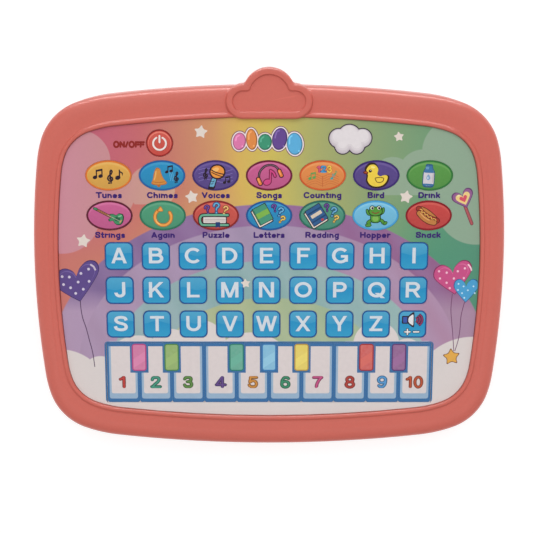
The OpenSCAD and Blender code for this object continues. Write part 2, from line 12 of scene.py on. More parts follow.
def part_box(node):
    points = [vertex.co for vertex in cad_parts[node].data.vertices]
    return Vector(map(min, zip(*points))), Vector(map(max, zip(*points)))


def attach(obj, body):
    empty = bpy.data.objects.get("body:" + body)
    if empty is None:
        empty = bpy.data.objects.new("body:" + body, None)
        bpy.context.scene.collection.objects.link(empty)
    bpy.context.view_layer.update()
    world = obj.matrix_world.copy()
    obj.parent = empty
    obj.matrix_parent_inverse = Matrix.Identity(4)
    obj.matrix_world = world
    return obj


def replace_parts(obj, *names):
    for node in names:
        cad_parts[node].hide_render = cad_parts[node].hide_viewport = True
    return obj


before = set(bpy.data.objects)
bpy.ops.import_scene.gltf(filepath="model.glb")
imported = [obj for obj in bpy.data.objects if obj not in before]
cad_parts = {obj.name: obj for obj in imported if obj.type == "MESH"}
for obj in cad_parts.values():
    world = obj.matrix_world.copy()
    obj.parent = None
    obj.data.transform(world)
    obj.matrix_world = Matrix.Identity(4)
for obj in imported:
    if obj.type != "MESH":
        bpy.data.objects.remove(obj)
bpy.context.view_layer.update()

bpy.context.scene.view_settings.view_transform = "Standard"
bpy.context.scene.view_settings.look = "None"


def mm_box(node):
    """Lowest and highest corner of a CAD node, in millimetres."""
    return [corner * 1000 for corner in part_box(node)]


def add_object(name, data):
    made = bpy.data.objects.new(name, data)
    bpy.context.scene.collection.objects.link(made)
    return made


def add_piece(name, points, faces, materials, body, slot, owners=None):
    """A mesh from points in millimetres; owners gives the number of each face's material."""
    mesh = bpy.data.meshes.new(name)
    mesh.from_pydata([(x / 1000, y / 1000, z / 1000) for x, y, z in points], [], faces)
    for material in materials:
        mesh.materials.append(material)
    if owners:
        mesh.polygons.foreach_set("material_index", owners)
    mesh.update()
    made = add_object(name, mesh)
    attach(made, body)
    return made


def dress(node, material):
    """Gives a CAD node a material."""
    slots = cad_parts[node].data.materials
    if not slots:
        slots.append(material)
    for i in range(len(slots)):
        slots[i] = material


# ---- Materials ----

LIGHT = 0.90  # share of a white surface's light that reaches the picture
GLOSS = 0.014  # light that the surface's gloss adds


def rgb(*colour):
    """The surface colour that looks like this sRGB colour under the scene's light."""
    linear = []
    for v in colour:
        v /= 255
        v = v / 12.92 if v <= 0.04045 else ((v + 0.055) / 1.055) ** 2.4
        linear.append(min(1.0, max(0.0, v - GLOSS) / LIGHT))
    return tuple(linear) + (1.0,)


def shade(colour, gain, lift=0.0):
    """A surface colour made darker or paler."""
    return tuple(min(1.0, c * gain + lift) for c in colour[:3]) + (1.0,)


class Number:
    """A value that a shader graph works out at each point, with ordinary arithmetic."""

    def __init__(self, graph, socket):
        self.graph, self.socket = graph, socket

    def __add__(self, other):
        return self.graph.math("ADD", self, other)

    def __sub__(self, other):
        return self.graph.math("SUBTRACT", self, other)

    def __rsub__(self, other):
        return self.graph.math("SUBTRACT", other, self)

    def __mul__(self, other):
        return self.graph.math("MULTIPLY", self, other)

    __radd__ = __add__
    __rmul__ = __mul__


class Graph:
    """A procedural material. Names of the shader's sockets are written with underscores."""

    def __init__(self, name, **shader):
        self.mat = bpy.data.materials.new(name)
        self.mat.use_nodes = True
        self.tree = self.mat.node_tree
        self.tree.nodes.clear()
        bsdf = self.node("BsdfPrincipled")
        self.node("OutputMaterial", None, {0: bsdf})
        self.shader = bsdf.socket.node
        self.set(**shader)

    def put(self, socket, value):
        if isinstance(value, Number):
            self.tree.links.new(value.socket, socket)
        else:
            socket.default_value = value

    def set(self, **values):
        for key, value in values.items():
            self.put(self.shader.inputs[key.replace("_", " ")], value)

    def node(self, kind, output=0, inputs=(), **settings):
        """One output of a new shader node; inputs gives what goes into its sockets."""
        made = self.tree.nodes.new("ShaderNode" + kind)
        for key, value in settings.items():
            setattr(made, key, value)
        for key, value in dict(inputs).items():
            self.put(made.inputs[key], value)
        return None if output is None else Number(self, made.outputs[output])

    def math(self, operation, *values, clamp=False):
        return self.node("Math", 0, dict(enumerate(values)), operation=operation, use_clamp=clamp)

    def length(self, dx, dy):
        return self.math("SQRT", dx * dx + dy * dy)

    def fade(self, value, gain, lift):
        """A straight line through the value, held between 0 and 1."""
        return self.math("MULTIPLY_ADD", value, gain, lift, clamp=True)

    def place(self, kind="Object"):
        """The coordinates, in millimetres, or from 0 to 1 over the box where kind is Generated."""
        split = self.node("SeparateXYZ", 0, {0: self.node("TexCoord", kind)}).socket.node
        scale = 1000.0 if kind == "Object" else 1.0
        return [Number(self, split.outputs[i]) * scale for i in range(3)]

    def noise(self, size, detail=2.0, stretch=(1, 1, 1)):
        """Soft random values round 0.5, with features of about this size in millimetres."""
        scale = [1000 / size / s for s in stretch]
        where = self.node("Mapping", 0, {0: self.node("TexCoord", "Object"), "Scale": scale})
        return self.node("TexNoise", 0, {"Vector": where, "Scale": 1.0, "Detail": detail})

    def mix(self, share, first, second, blend="MIX"):
        sockets = {0: share, 6: first, 7: second}
        return self.node("Mix", 2, sockets, data_type="RGBA", clamp_factor=True, blend_type=blend)

    def ramp(self, share, stops, change="LINEAR"):
        """A colour for each share from 0 to 1, from the sRGB colours at some of them."""
        made = self.node("ValToRGB", 0, {0: share})
        ramp = made.socket.node.color_ramp
        while len(ramp.elements) < len(stops):
            ramp.elements.new(0.5)
        for element, (position, colour) in zip(ramp.elements, stops.items()):
            element.position = position
            element.color = rgb(*colour)
        ramp.interpolation = change
        return made

    def inside(self, distance, soft=0.4):
        """1 where a signed distance is negative, 0 where it is positive."""
        return self.math("ADD", distance * (-1 / soft), 0.5, clamp=True)

    def most(self, *values):
        return functools.reduce(lambda a, b: self.math("MAXIMUM", a, b), values)

    def tint(self, colour, amount, size, detail=3.0):
        """The colour with soft lighter and darker patches."""
        share = (self.noise(size, detail) - 0.5) * 2 + 0.5
        return self.mix(share, shade(colour, 1 - amount), shade(colour, 1 + amount))

    def bump(self, height, distance):
        """Relief of this height in millimetres."""
        sockets = {"Strength": 1.0, "Distance": distance / 1000, "Height": height}
        self.set(Normal=self.node("Bump", 0, sockets))

    def colour(self, value):
        self.set(Base_Color=value)
        return self.mat


def moulded(name, colour):
    """Satin moulded plastic with a fine spark-eroded grain, and a painted highlight that makes convex edges
    paler.
    """
    g = Graph(name, IOR=1.54, Coat_Weight=0.25, Coat_Roughness=0.16)
    # painted highlight: convex edges, found by pointiness, are mixed towards a paler copy of the colour
    painted_edge_highlight = g.math("MULTIPLY", g.node("NewGeometry", "Pointiness") - 0.515, 9.0, clamp=True)
    base = g.mix(0.4, g.tint(colour, 0.035, 60, 2.0), g.tint(colour, 0.05, 1.6, 2.0))
    grain, flow = g.noise(0.5), g.noise(35)
    g.set(Roughness=0.38 + grain * 0.06 + flow * 0.05)
    g.bump(grain * 0.2 + flow * 1.8, 0.05)
    return g.colour(g.mix(painted_edge_highlight * 0.5, base, shade(colour, 1.12, 0.01)))


def laminate(name, ripple=7, detail=1.0, depth=0.04, rough=0.34):
    """Print under a semi-gloss laminate with faint ripples; its colour is still to come."""
    g = Graph(name, Roughness=rough, IOR=1.46)
    g.bump(g.noise(ripple, detail), depth)
    return g


@functools.cache
def ink(*colour):
    """The printed material for an sRGB colour, made once."""
    g = laminate("ink_%02x%02x%02x" % colour, 9, 2.0, 0.03, 0.36)
    return g.colour(g.tint(rgb(*colour), 0.03, 2.5))


# ---- Flat shapes, as lists of points in millimetres ----


def cos_sin(angle):
    t = math.radians(angle)
    return math.cos(t), math.sin(t)


def sweep(*degrees):
    """Cosine and sine at each angle of a range of degrees."""
    return [cos_sin(angle) for angle in range(*degrees)]


def placed(points, x=0.0, y=0.0, scale=1.0, turn=0.0):
    c, s = (value * scale for value in cos_sin(turn))
    return [(x + c * px - s * py, y + s * px + c * py) for px, py in points]


def ellipse(x, y, rx, ry=None, turn=0.0, steps=40, start=0.0, end=360.0):
    """A whole ellipse, or an arc of one."""
    count = steps if abs(end - start) >= 360 else steps + 1
    around = [cos_sin(start + (end - start) * i / steps) for i in range(count)]
    return placed([(rx * c, (ry or rx) * s) for c, s in around], x, y, 1.0, turn)


def rounded(x, y, w, h, r, turn=0.0, steps=8):
    r = min(r, w / 2 - 1e-4, h / 2 - 1e-4)
    out = []
    for k, (sx, sy) in enumerate(((1, 1), (-1, 1), (-1, -1), (1, -1))):
        for i in range(steps + 1):
            c, s = cos_sin(90 * k + 90 * i / steps)
            out.append((sx * (w / 2 - r) + r * c, sy * (h / 2 - r) + r * s))
    return placed(out, x, y, 1.0, turn)


def between(a, b, c, d, t):
    """A cubic from b to c whose slopes follow a and d."""
    bend, twist = 2 * a - 5 * b + 4 * c - d, 3 * b - a - 3 * c + d
    return 0.5 * (2 * b + (c - a) * t + bend * t * t + twist * t**3)


def smooth(points, steps=6, closed=True):
    """A curve through the points."""
    n, out = len(points), []
    for i in range(n if closed else n - 1):
        near = [points[(i + k) % n if closed else max(0, min(n - 1, i + k))] for k in (-1, 0, 1, 2)]
        for step in range(steps):
            out.append(tuple(between(*values, step / steps) for values in zip(*near)))
    return out if closed else out + [tuple(points[-1])]


def softened(points, rounds=2, share=0.25):
    """The polygon with its corners cut round."""
    for _ in range(rounds):
        cut = []
        for p, q in zip(points, points[1:] + points[:1]):
            for near, far in ((p, q), (q, p)):
                cut.append(tuple(a + (b - a) * share for a, b in zip(near, far)))
        points = cut
    return points


def star(x, y, r, turn=0.0):
    points = []
    for i in range(10):
        c, s = cos_sin(90 + turn + 36 * i)
        reach = r / (1 + i % 2)
        points.append((x + reach * c, y + reach * s))
    return softened(points, 2, 0.2)


def stroke(points, width, cap=True):
    """The outline of a pen line, with round ends or with plain ones."""
    r, n = width / 2, len(points)
    ends = []
    for i, point in enumerate(points):
        (ax, ay), (bx, by) = points[max(i - 1, 0)], points[min(i + 1, n - 1)]
        length = math.hypot(bx - ax, by - ay) or 1e-9
        ends.append((*point, (bx - ax) / length, (by - ay) / length))

    def round_end(x, y, tx, ty, first):
        turns = [cos_sin(first + 30 * i) for i in range(1, 6)] if cap else []
        return [(x + r * (tx * c - ty * s), y + r * (ty * c + tx * s)) for c, s in turns]

    right = [(x + ty * r, y - tx * r) for x, y, tx, ty in ends]
    left = [(x - ty * r, y + tx * r) for x, y, tx, ty in ends[::-1]]
    return right + round_end(*ends[-1], -90) + left + round_end(*ends[0], 90)


def pen(path, width, run=4):
    """A pen line as short overlapping runs with round ends, which no bend can fold over."""
    return [stroke(path[i : i + run + 1], width) for i in range(0, len(path) - 1, run)]


def lumps(circles, centre, grow, steps):
    """The outline round a group of circles, seen from a point inside them."""
    out = []
    for i in range(steps):
        a = 2 * math.pi * i / steps
        dx, dy = math.cos(a), math.sin(a)
        reach = 0.0
        for cx, cy, r in circles:
            px, py = cx - centre[0], cy - centre[1]
            off = px * dy - py * dx
            gap = (r + grow) ** 2 - off * off
            if gap > 0:
                reach = max(reach, px * dx + py * dy + math.sqrt(gap))
        out.append((centre[0] + reach * dx, centre[1] + reach * dy))
    return out


LOBE = [(0, -0.5), (0.29, -0.17), (0.49, 0.14), (0.45, 0.4), (0.26, 0.49), (0.08, 0.36), (0.01, 0.2)]
HEART = smooth(LOBE, 6, closed=False)[:-1]
HEART = HEART + [(0, 0.18)] + [(-x, y) for x, y in HEART[::-1]]


def heart(x, y, w, h, turn=0.0, lean=0.0):
    """A heart of this width and height; lean lifts its right lobe above its left one."""
    return placed([(px * w, py * h + lean * px * w) for px, py in HEART], x, y, turn=turn)


def clip(points, edge, side=1):
    """The part of an outline to the right of an upright line, or to its left if side is -1."""
    points = [(x * side, y) for x, y in points]
    edge, out = edge * side, []
    for i, (x, y) in enumerate(points):
        px, py = points[i - 1]
        if (x >= edge) != (px >= edge):
            out.append((edge, py + (y - py) * ((edge - px) / (x - px))))
        if x >= edge:
            out.append((x, y))
    return [(x * side, y) for x, y in out]


# ---- A plain drawn alphabet ----

CAPITAL = 10  # height of a capital, in the alphabet's own units
UPRIGHT = 0.97  # share of the pen's width that a straight upright stroke has
SLANTED = 0.92  # and a slanted or a level one

# Each letter has its width, then its strokes: the points of a pen line, or a ring or an arc
# (middle, radii, start and end), or the bow of a B, D, P or R (low, high, right middle, radius).
STROKES = {
    "A": "8.8 | 1.1,0 4.4,10 | 7.7,0 4.4,10 | 2.2,2.9 6.6,2.9",
    "B": "7.8 | 1,0 1,10 | bow 0.9 5.3 4.6 2.4 | bow 5.3 9.1 4.3 2.1",
    "C": "8.6 | arc 4.6 5 3.7 4.1 42 318",
    "D": "8.3 | 1,0 1,10 | bow 0.9 9.1 3.6 3.8",
    "E": "7.3 | 1,0 1,10 | 1,9.1 7.1,9.1 | 1,5.1 6.6,5.1 | 1,0.9 7.3,0.9",
    "F": "6.9 | 1,0 1,10 | 1,9.1 6.9,9.1 | 1,4.9 6,4.9",
    "G": "8.9 | arc 4.6 5 3.7 4.1 42 326 | 4.8,4.5 8.6,4.5 | 7.7,1 7.7,5.3",
    "H": "8.3 | 1,0 1,10 | 7.3,0 7.3,10 | 1,5.2 7.3,5.2",
    "I": "2 | 1,0 1,10",
    "J": "6.2 | 5.2,10 5.2,3 | arc 3.1 3.1 2.1 2.2 180 362",
    "K": "8.4 | 1,0 1,10 | 0.6,3 6.9,10 | 7.3,0 3.3,6.2",
    "L": "6.9 | 1,0 1,10 | 1,0.9 6.9,0.9",
    "M": "9.6 | 1,0 1,10 | 8.6,0 8.6,10 | 1.3,10 4.8,0 | 8.3,10 4.8,0",
    "N": "8.4 | 1,0 1,10 | 7.4,0 7.4,10 | 1.3,10 7.1,0",
    "O": "9.4 | ring 4.7 5 3.8 4.1",
    "P": "7.6 | 1,0 1,10 | bow 4.5 9.1 4.2 2.4",
    "Q": "9.4 | ring 4.7 5 3.8 4.1 | 5,2.9 8.2,-0.4",
    "R": "8.3 | 1,0 1,10 | bow 4.7 9.1 4.6 2.3 | 7.2,0 4.4,4.7",
    "S": "7.9 | 7,7.1 6.3,8.6 4.1,9.1 2,8.6 1.4,7.1 2.4,5.8 4.2,5.1 6.2,4.3 6.9,2.8 6.2,1.4 "
    "4.1,0.9 1.8,1.5 1,3.2",
    "T": "8 | 0.2,9.1 7.8,9.1 | 4,0 4,10",
    "U": "8.2 | 1,3.9 1,10 | 7.2,3.9 7.2,10 | arc 4.1 4 3.1 3.1 178 362",
    "V": "8.8 | 1.1,10 4.4,0 | 7.7,10 4.4,0",
    "W": "12 | 1.1,10 3.6,0 | 6,10 3.6,0 | 6,10 8.4,0 | 10.9,10 8.4,0",
    "X": "8.6 | 1.2,0 7.4,10 | 1.2,10 7.4,0",
    "Y": "8.6 | 1.1,10 4.3,4 | 7.5,10 4.3,4 | 4.3,0 4.3,4.8",
    "Z": "7.9 | 0.6,9.1 7.3,9.1 | 0.4,0.9 7.5,0.9 | 1.3,0.4 6.5,9.6",
    "0": "7.2 | ring 3.6 5 2.6 4.1",
    "1": "4.6 | 3.4,0 3.4,10 | 3.2,9.2 2.4,8.1 0.9,7.3",
    "2": "7.2 | 1.1,6.9 1.7,8.5 3.6,9.1 5.5,8.4 5.8,6.8 4.8,5 2.6,2.9 1.3,1 | 0.7,0.9 6.6,0.9",
    "3": "7.2 | 1.2,7.5 2,8.7 3.6,9.1 5.2,8.5 5.6,7.1 4.8,5.8 3,5.3 | "
    "3,5.3 5,5 6,3.4 5.5,1.7 3.6,0.9 1.8,1.4 1,2.8",
    "4": "7.4 | 5,0 5,10 | 4.9,9.4 1.1,3 | 0.8,2.8 7,2.8",
    "5": "7.2 | 2,9.1 6.2,9.1 | 2.1,9.4 1.5,5.2 | 1.5,5 3.5,6.1 5.4,5.5 6.1,3.5 5.3,1.5 3.4,0.9 "
    "1.8,1.4 1,2.6",
    "6": "7.2 | ring 3.7 3.2 2.5 2.4 | 5.9,7.9 4.5,9.1 2.8,8.5 1.5,6.2 1.2,3.4",
    "7": "7 | 0.8,9.1 6.4,9.1 | 6.2,9 4.2,6 3,3 2.7,0",
    "8": "7.4 | ring 3.7 7.1 2.1 2 | ring 3.7 3 2.6 2.2",
    "9": "7.2 | ring 3.5 6.8 2.5 2.4 | 1.3,2.1 2.7,0.9 4.4,1.5 5.7,3.8 6,6.6",
    "/": "4.6 | 0.8,0 3.8,10",
    "a": "6.6 | ring 3.3 3.3 2.3 2.4 | 5.6,0 5.6,6.6",
    "c": "5.8 | arc 3.5 3.3 2.4 2.4 50 310",
    "d": "6.6 | ring 3.3 3.3 2.3 2.4 | 5.6,0 5.6,10",
    "e": "6.8 | arc 3.5 3.3 2.4 2.4 0 312 | 1.4,3.3 5.8,3.3",
    "g": "6.6 | ring 3.3 3.3 2.3 2.4 | 5.6,6.4 5.6,-0.6 | arc 3.5 -0.6 2.1 1.8 0 -140",
    "h": "6.6 | 1,0 1,10 | arc 3.25 3.4 2.25 2.3 180 0 | 5.5,0 5.5,3.6",
    "i": "2.2 | 1.1,0 1.1,6.4 | 1.1,9 1.1,9.3",
    "k": "6.2 | 1,0 1,10 | 1.4,2.8 5,6.4 | 5.4,0 2.8,4",
    "l": "2.2 | 1.1,0 1.1,10",
    "m": "10.2 | 1,0 1,6.4 | arc 3.1 3.6 2.05 2.1 180 0 | 5.1,0 5.1,3.8 | arc 7.2 3.6 2.05 2.1 180 0 | "
    "9.2,0 9.2,3.8",
    "n": "6.6 | 1,0 1,6.4 | arc 3.25 3.4 2.25 2.3 180 0 | 5.5,0 5.5,3.6",
    "o": "6.8 | ring 3.4 3.3 2.4 2.4",
    "p": "6.6 | 1,-2.6 1,6.4 | ring 3.4 3.3 2.3 2.4",
    "r": "4.6 | 1,0 1,6.4 | arc 3.4 3.3 2.4 2.4 180 70",
    "s": "5.8 | 4.9,4.9 3.9,5.8 1.9,5.6 1.4,4.3 2.9,3.4 4.6,2.6 4.5,1.2 2.9,0.8 1,1.5",
    "t": "4.4 | 2,1 2,8.6 | 0.6,6 3.8,6 | 2,1.6 2.6,0.8 3.8,1",
    "u": "6.6 | 5.5,0 5.5,6.4 | 1,3 1,6.4 | arc 3.25 3.1 2.25 2.2 180 360",
    "z": "5.8 | 0.8,5.7 5,5.7 | 0.8,0.9 5.2,0.9 | 1.3,0.9 4.7,5.7",
}


def xy(text):
    """A list of points from text such as 0,1.5 -2,3."""
    return [tuple(float(value) for value in pair.split(",")) for pair in text.split()]


def read_letter(text):
    """A letter's width, and its strokes, each as its kind and its points or numbers."""
    width, *strokes = text.split(" | ")
    out = []
    for words in strokes:
        kind, _, numbers = words.partition(" ")
        if kind.isalpha():
            out.append((kind, [float(number) for number in numbers.split()]))
        else:
            out.append(("line", xy(words)))
    return float(width), out


ALPHABET = {letter: read_letter(text) for letter, text in STROKES.items()}


def bar(start, end, weight):
    """A straight stroke with its ends cut level if it is upright, or upright if it is level."""
    (ax, ay), (bx, by) = start, end
    if abs(by - ay) > 0.5 * abs(bx - ax):
        half = weight / 2 * math.hypot(1, (bx - ax) / (by - ay)) * (UPRIGHT if ax == bx else SLANTED)
        return [(ax - half, ay), (ax + half, ay), (bx + half, by), (bx - half, by)]
    half = weight / 2 * SLANTED
    return [(ax, ay - half), (bx, by - half), (bx, by + half), (ax, ay + half)]


def letter_shapes(letter, weight, flat):
    """The outlines and holes of a letter drawn with a pen of this width, with flat or round ends."""
    half = weight / 2
    for kind, stretch in ALPHABET[letter][1]:
        if kind == "ring":
            x, y, rx, ry = stretch
            hole = [ellipse(x, y, rx - half, ry - half)] if min(rx, ry) > half + 0.1 else []
            yield ellipse(x, y, rx + half, ry + half), hole
            continue
        if kind == "arc":
            x, y, rx, ry, start, end = stretch
            path = ellipse(x, y, rx, ry, start=start, end=end, steps=30)
        elif kind == "bow":
            low, high, x, rx = stretch
            curve = ellipse(x, (low + high) / 2, rx, (high - low) / 2, start=90, end=-90, steps=20)
            path = [(1, high), (x - rx / 2, high), *curve, (x - rx / 2, low), (1, low)]
        elif len(stretch) > 2:
            path = smooth(stretch, 5, closed=False)
        elif flat:
            yield bar(*stretch, weight), []
            continue
        else:
            path = stretch
        if flat:
            yield stroke(path, weight, cap=False), []
        else:
            # all but what hangs below the line keeps its ink between the line and a capital's top
            path = [(x, y if y < -0.3 else min(max(y, half), CAPITAL - half)) for x, y in path]
            for run in pen(path, weight):
                yield run, []


# ---- Ink: thin closed layers that stand a few hundredths of a millimetre proud ----

LAYER = 0.01  # height of one level of ink
COUNT_RISE = 0.0006  # what each further shape on a print is higher, so that no two lie in one plane
RUN_RISE = 0.0012  # what a stroke of one line or word is higher than the one before it
EMBED = 0.02  # depth of a shape below the surface that it is printed on
NOTE_LEVEL = 2  # notes lie over the plain shapes round them


class Print:
    """The inks on one CAD body, as one mesh with one material for each colour."""

    def __init__(self, name, body, slot, node=None, at=None):
        low, high = mm_box(node or body)
        self.name, self.body, self.slot, self.surface = name, body, slot, high.z
        self.at = at or ((low.x + high.x) / 2, (low.y + high.y) / 2)
        self.points, self.faces, self.owners, self.inks = [], [], [], []
        self.scale, self.count, self.fixed = 1.0, 0, None

    def top(self, level):
        """The height of the next shape, unless it is fixed."""
        if self.fixed is not None:
            return self.fixed
        self.count += 1
        return self.surface + LAYER * (level + 1) + COUNT_RISE * self.count

    def add(self, colour, outline, level=0, holes=()):
        """A shape where its points say."""
        top, low = self.top(level), self.surface - EMBED
        material = ink(*colour)
        if material not in self.inks:
            self.inks.append(material)
        loops = [list(outline)] + [list(hole) for hole in holes]
        flat = [point for loop in loops for point in loop]
        start, n, faces = len(self.points), len(flat), len(self.faces)
        self.points += [(x, y, top) for x, y in flat] + [(x, y, low) for x, y in flat]
        for a, b, c in tessellate_polygon([[Vector((*point, 0)) for point in loop] for loop in loops]):
            (ax, ay), (bx, by), (cx, cy) = flat[a], flat[b], flat[c]
            if (bx - ax) * (cy - ay) - (by - ay) * (cx - ax) < 0:
                b, c = c, b
            self.faces += [(start + a, start + b, start + c), (start + n + c, start + n + b, start + n + a)]
        for k, loop in enumerate(loops):
            area = sum(p[0] * q[1] - q[0] * p[1] for p, q in zip(loop, loop[1:] + loop[:1]))
            for i in range(len(loop)):
                a, b = start + i, start + (i + 1) % len(loop)
                if (area > 0) != (k == 0):
                    a, b = b, a
                self.faces.append((a, a + n, b + n, b))
            start += len(loop)
        self.owners += [self.inks.index(material)] * (len(self.faces) - faces)

    def put(self, colour, outline, level=0, holes=()):
        """A shape drawn round the print's own point, at its own scale."""
        outline, *holes = (placed(loop, *self.at, self.scale) for loop in (outline, *holes))
        self.add(colour, outline, level, holes)

    def ring(self, colour, outline, hole, level=0):
        self.put(colour, outline, level, [hole])

    def edged(self, fill, edge, outline_of, width, level=1):
        """A shape with a line round it: outline_of(grow) gives the shape at any growth."""
        self.put(edge, outline_of(width), level)
        self.put(fill, outline_of(0), level + 1)

    def line(self, colour, path, width, level=1, curved=True):
        path = smooth(path, 5, closed=False) if curved else path
        top = self.top(level)
        for k, run in enumerate(pen(path, width)):
            self.fixed = top + RUN_RISE * (k % 2)
            self.put(colour, run, level)
        self.fixed = None

    def dots(self, colour, places, radius, steps, level):
        for x, y in places:
            self.put(colour, ellipse(x, y, radius, steps=steps), level)

    def say(self, colour, text, x, y, height, level=0, weight=2.0, flat=False, wide=1.0, space=1.2):
        """Drawn text with capitals of this height, its middle at x, y."""
        x, y, scale, top = x + self.at[0], y + self.at[1], height / CAPITAL, self.top(level)
        at = -(sum(ALPHABET[letter][0] + space for letter in text) - space) / 2
        for letter in text:
            for k, (outline, holes) in enumerate(letter_shapes(letter, weight, flat)):
                self.fixed = top + RUN_RISE * (k % 7)  # strokes that cross differ in height
                outline, *holes = (
                    [(x + (at + px) * scale * wide, y + (py - CAPITAL / 2) * scale) for px, py in loop]
                    for loop in (outline, *holes)
                )
                self.add(colour, outline, level, holes)
            at += ALPHABET[letter][0] + space
        self.fixed = None

    def quaver(self, colour, x, y, size, joined=False):
        """One note, or two that are joined by a beam."""
        for hx, hy in ((0, 0), (2.5, 0.55)) if joined else ((0, 0),):
            stem = [(hx + 0.4, hy), (hx + 0.9, hy), (hx + 0.9, hy + 3.1), (hx + 0.4, hy + 3.1)]
            for shape in (ellipse(hx, hy, 1.05, 0.8, 22, 20), stem):
                self.put(colour, placed(shape, x, y, size), NOTE_LEVEL)
        beam = xy("0.4,2.4 3.4,3 3.4,3.9 0.4,3.3")
        if not joined:
            beam = smooth(xy("0.5,3.2 0.8,2.6 1.9,1.9 1.8,0.7 1.5,1.6 0.75,2 0.5,2.2"), 3)
        self.put(colour, placed(beam, x, y, size), NOTE_LEVEL)

    def clef(self, colour, x, y, size):
        stem = xy("-0.55,-2.5 -0.2,-3 0.3,-2.7 0.3,-1.2 0,1 0.05,2.5 0.45,3.1")
        curl = xy("0.45,3.1 0.85,2.4 0.4,1.4 -0.75,0.4 -1,-0.8 -0.1,-1.65 0.95,-1.1")
        curl += xy("0.8,-0.1 0,-0.1 -0.2,-0.7")
        for path in (stem, curl):
            curve = placed(smooth(path, 4, closed=False), x, y, size)
            self.put(colour, stroke(curve, 0.66 * size), NOTE_LEVEL)
        knob = ellipse(x - 0.55 * size, y - 2.45 * size, 0.42 * size, steps=14)
        self.put(colour, knob, NOTE_LEVEL)

    def asking(self, fill, edge, x, y, size, turn):
        """A question mark with a dark edge."""
        hook = smooth(xy("-1,0.9 -0.7,1.7 0.2,2 1,1.4 0.8,0.6 0.1,0 0,-0.7"), 5, closed=False)
        dot = placed([(0.0, -1.85)], x, y, size, turn)[0]
        for level, (colour, extra) in enumerate(((edge, 0.75), (fill, 0.0)), NOTE_LEVEL + 1):
            path = placed(hook, x, y, size, turn)
            self.line(colour, path, (0.62 + extra) * size, level, curved=False)
            self.put(colour, ellipse(*dot, (0.38 + extra / 2) * size, steps=16), level)

    def make(self):
        add_piece(self.name, self.points, self.faces, self.inks, self.body, self.slot, self.owners)


# ---- Housing ----

BREAKS = (0, 7, 18, 70, 83.5, 90)  # directions of the normal where the arcs of a quarter meet
ARC_STEPS = (26, 6, 20, 8, 24)
QUARTER = []
for i, count in enumerate(ARC_STEPS):
    QUARTER += [BREAKS[i] + (BREAKS[i + 1] - BREAKS[i]) * k / count for k in range(count)]
HALF = QUARTER + [90] + [180 - a for a in QUARTER[:0:-1]]
TURN = HALF + [a + 180 for a in HALF]

rear_low, rear_high = mm_box("rear_housing")
front_low, front_high = mm_box("front_housing")
film_low, film_high = mm_box("face_film")
wide_y = rear_low.y + 103  # where the toy is widest
seam_z = front_low.z  # where the two housings meet
seat_z = mm_box("membrane_switch")[1].z - 1.2  # underside of the membrane switch
body_t = 26.0

EASE_SIDE = 60  # radius of the arc between the side and the corner
EASE_ARCH = 80  # radius of the arc between the corner and the arch
FILM_GAP = 0.2
WINDOW_H = 165.5


class Outline:
    """A bowed rectangle as a chain of arcs, and its rings at any inset."""

    def __init__(self, half_w, low_y, high_y, corner, scale=1.0):
        self.half_w = half_w
        self.up = self.radii(high_y - wide_y, corner, scale)
        self.down = self.radii(wide_y - low_y, corner, scale)

    def radii(self, half_h, corner, scale):
        """Radii of the five arcs of a quarter: the outer two close it on its half sizes."""
        c, s = zip(*(cos_sin(angle) for angle in BREAKS))
        a, b = EASE_SIDE * scale, EASE_ARCH * scale
        w = self.half_w - a * (c[1] - c[2]) - corner * (c[2] - c[3]) - b * (c[3] - c[4])
        h = half_h - a * (s[2] - s[1]) - corner * (s[3] - s[2]) - b * (s[4] - s[3])
        det = (c[0] - c[1]) * (s[5] - s[4]) - (c[4] - c[5]) * (s[1] - s[0])
        side = (w * (s[5] - s[4]) - h * (c[4] - c[5])) / det
        arch = (h * (c[0] - c[1]) - w * (s[1] - s[0])) / det
        return (side, a, corner, b, arch)

    def quarter_point(self, radii, angle):
        x, y = self.half_w, 0.0
        for i, r in enumerate(radii):
            start_c, start_s = cos_sin(BREAKS[i])
            c, s = cos_sin(max(BREAKS[i], min(angle, BREAKS[i + 1])))
            x -= r * (start_c - c)
            y += r * (s - start_s)
        return x, y

    def ring(self, inset):
        out = []
        for a in TURN:
            fold = a % 180 if a % 180 <= 90 else 180 - a % 180
            x, y = self.quarter_point(self.up if a < 180 else self.down, fold)
            c, s = cos_sin(fold)
            x -= inset * c
            y -= inset * s
            out.append((x if a <= 90 or a >= 270 else -x, wide_y + (y if a < 180 else -y)))
        return out

    def rings(self, profile):
        """One ring for each inset and height."""
        return [at_height(self.ring(inset), z) for inset, z in profile]


def at_height(ring, z):
    return [(x, y, z) for x, y in ring]


def mixed_ring(first, second, share, z):
    return [(a[0] + (b[0] - a[0]) * share, a[1] + (b[1] - a[1]) * share, z) for a, b in zip(first, second)]


BODY = Outline(rear_high.x, rear_low.y, rear_high.y, 31)
window_low_y = film_low.y - FILM_GAP
WINDOW = Outline(film_high.x + FILM_GAP, window_low_y, window_low_y + WINDOW_H, 22, 0.75)


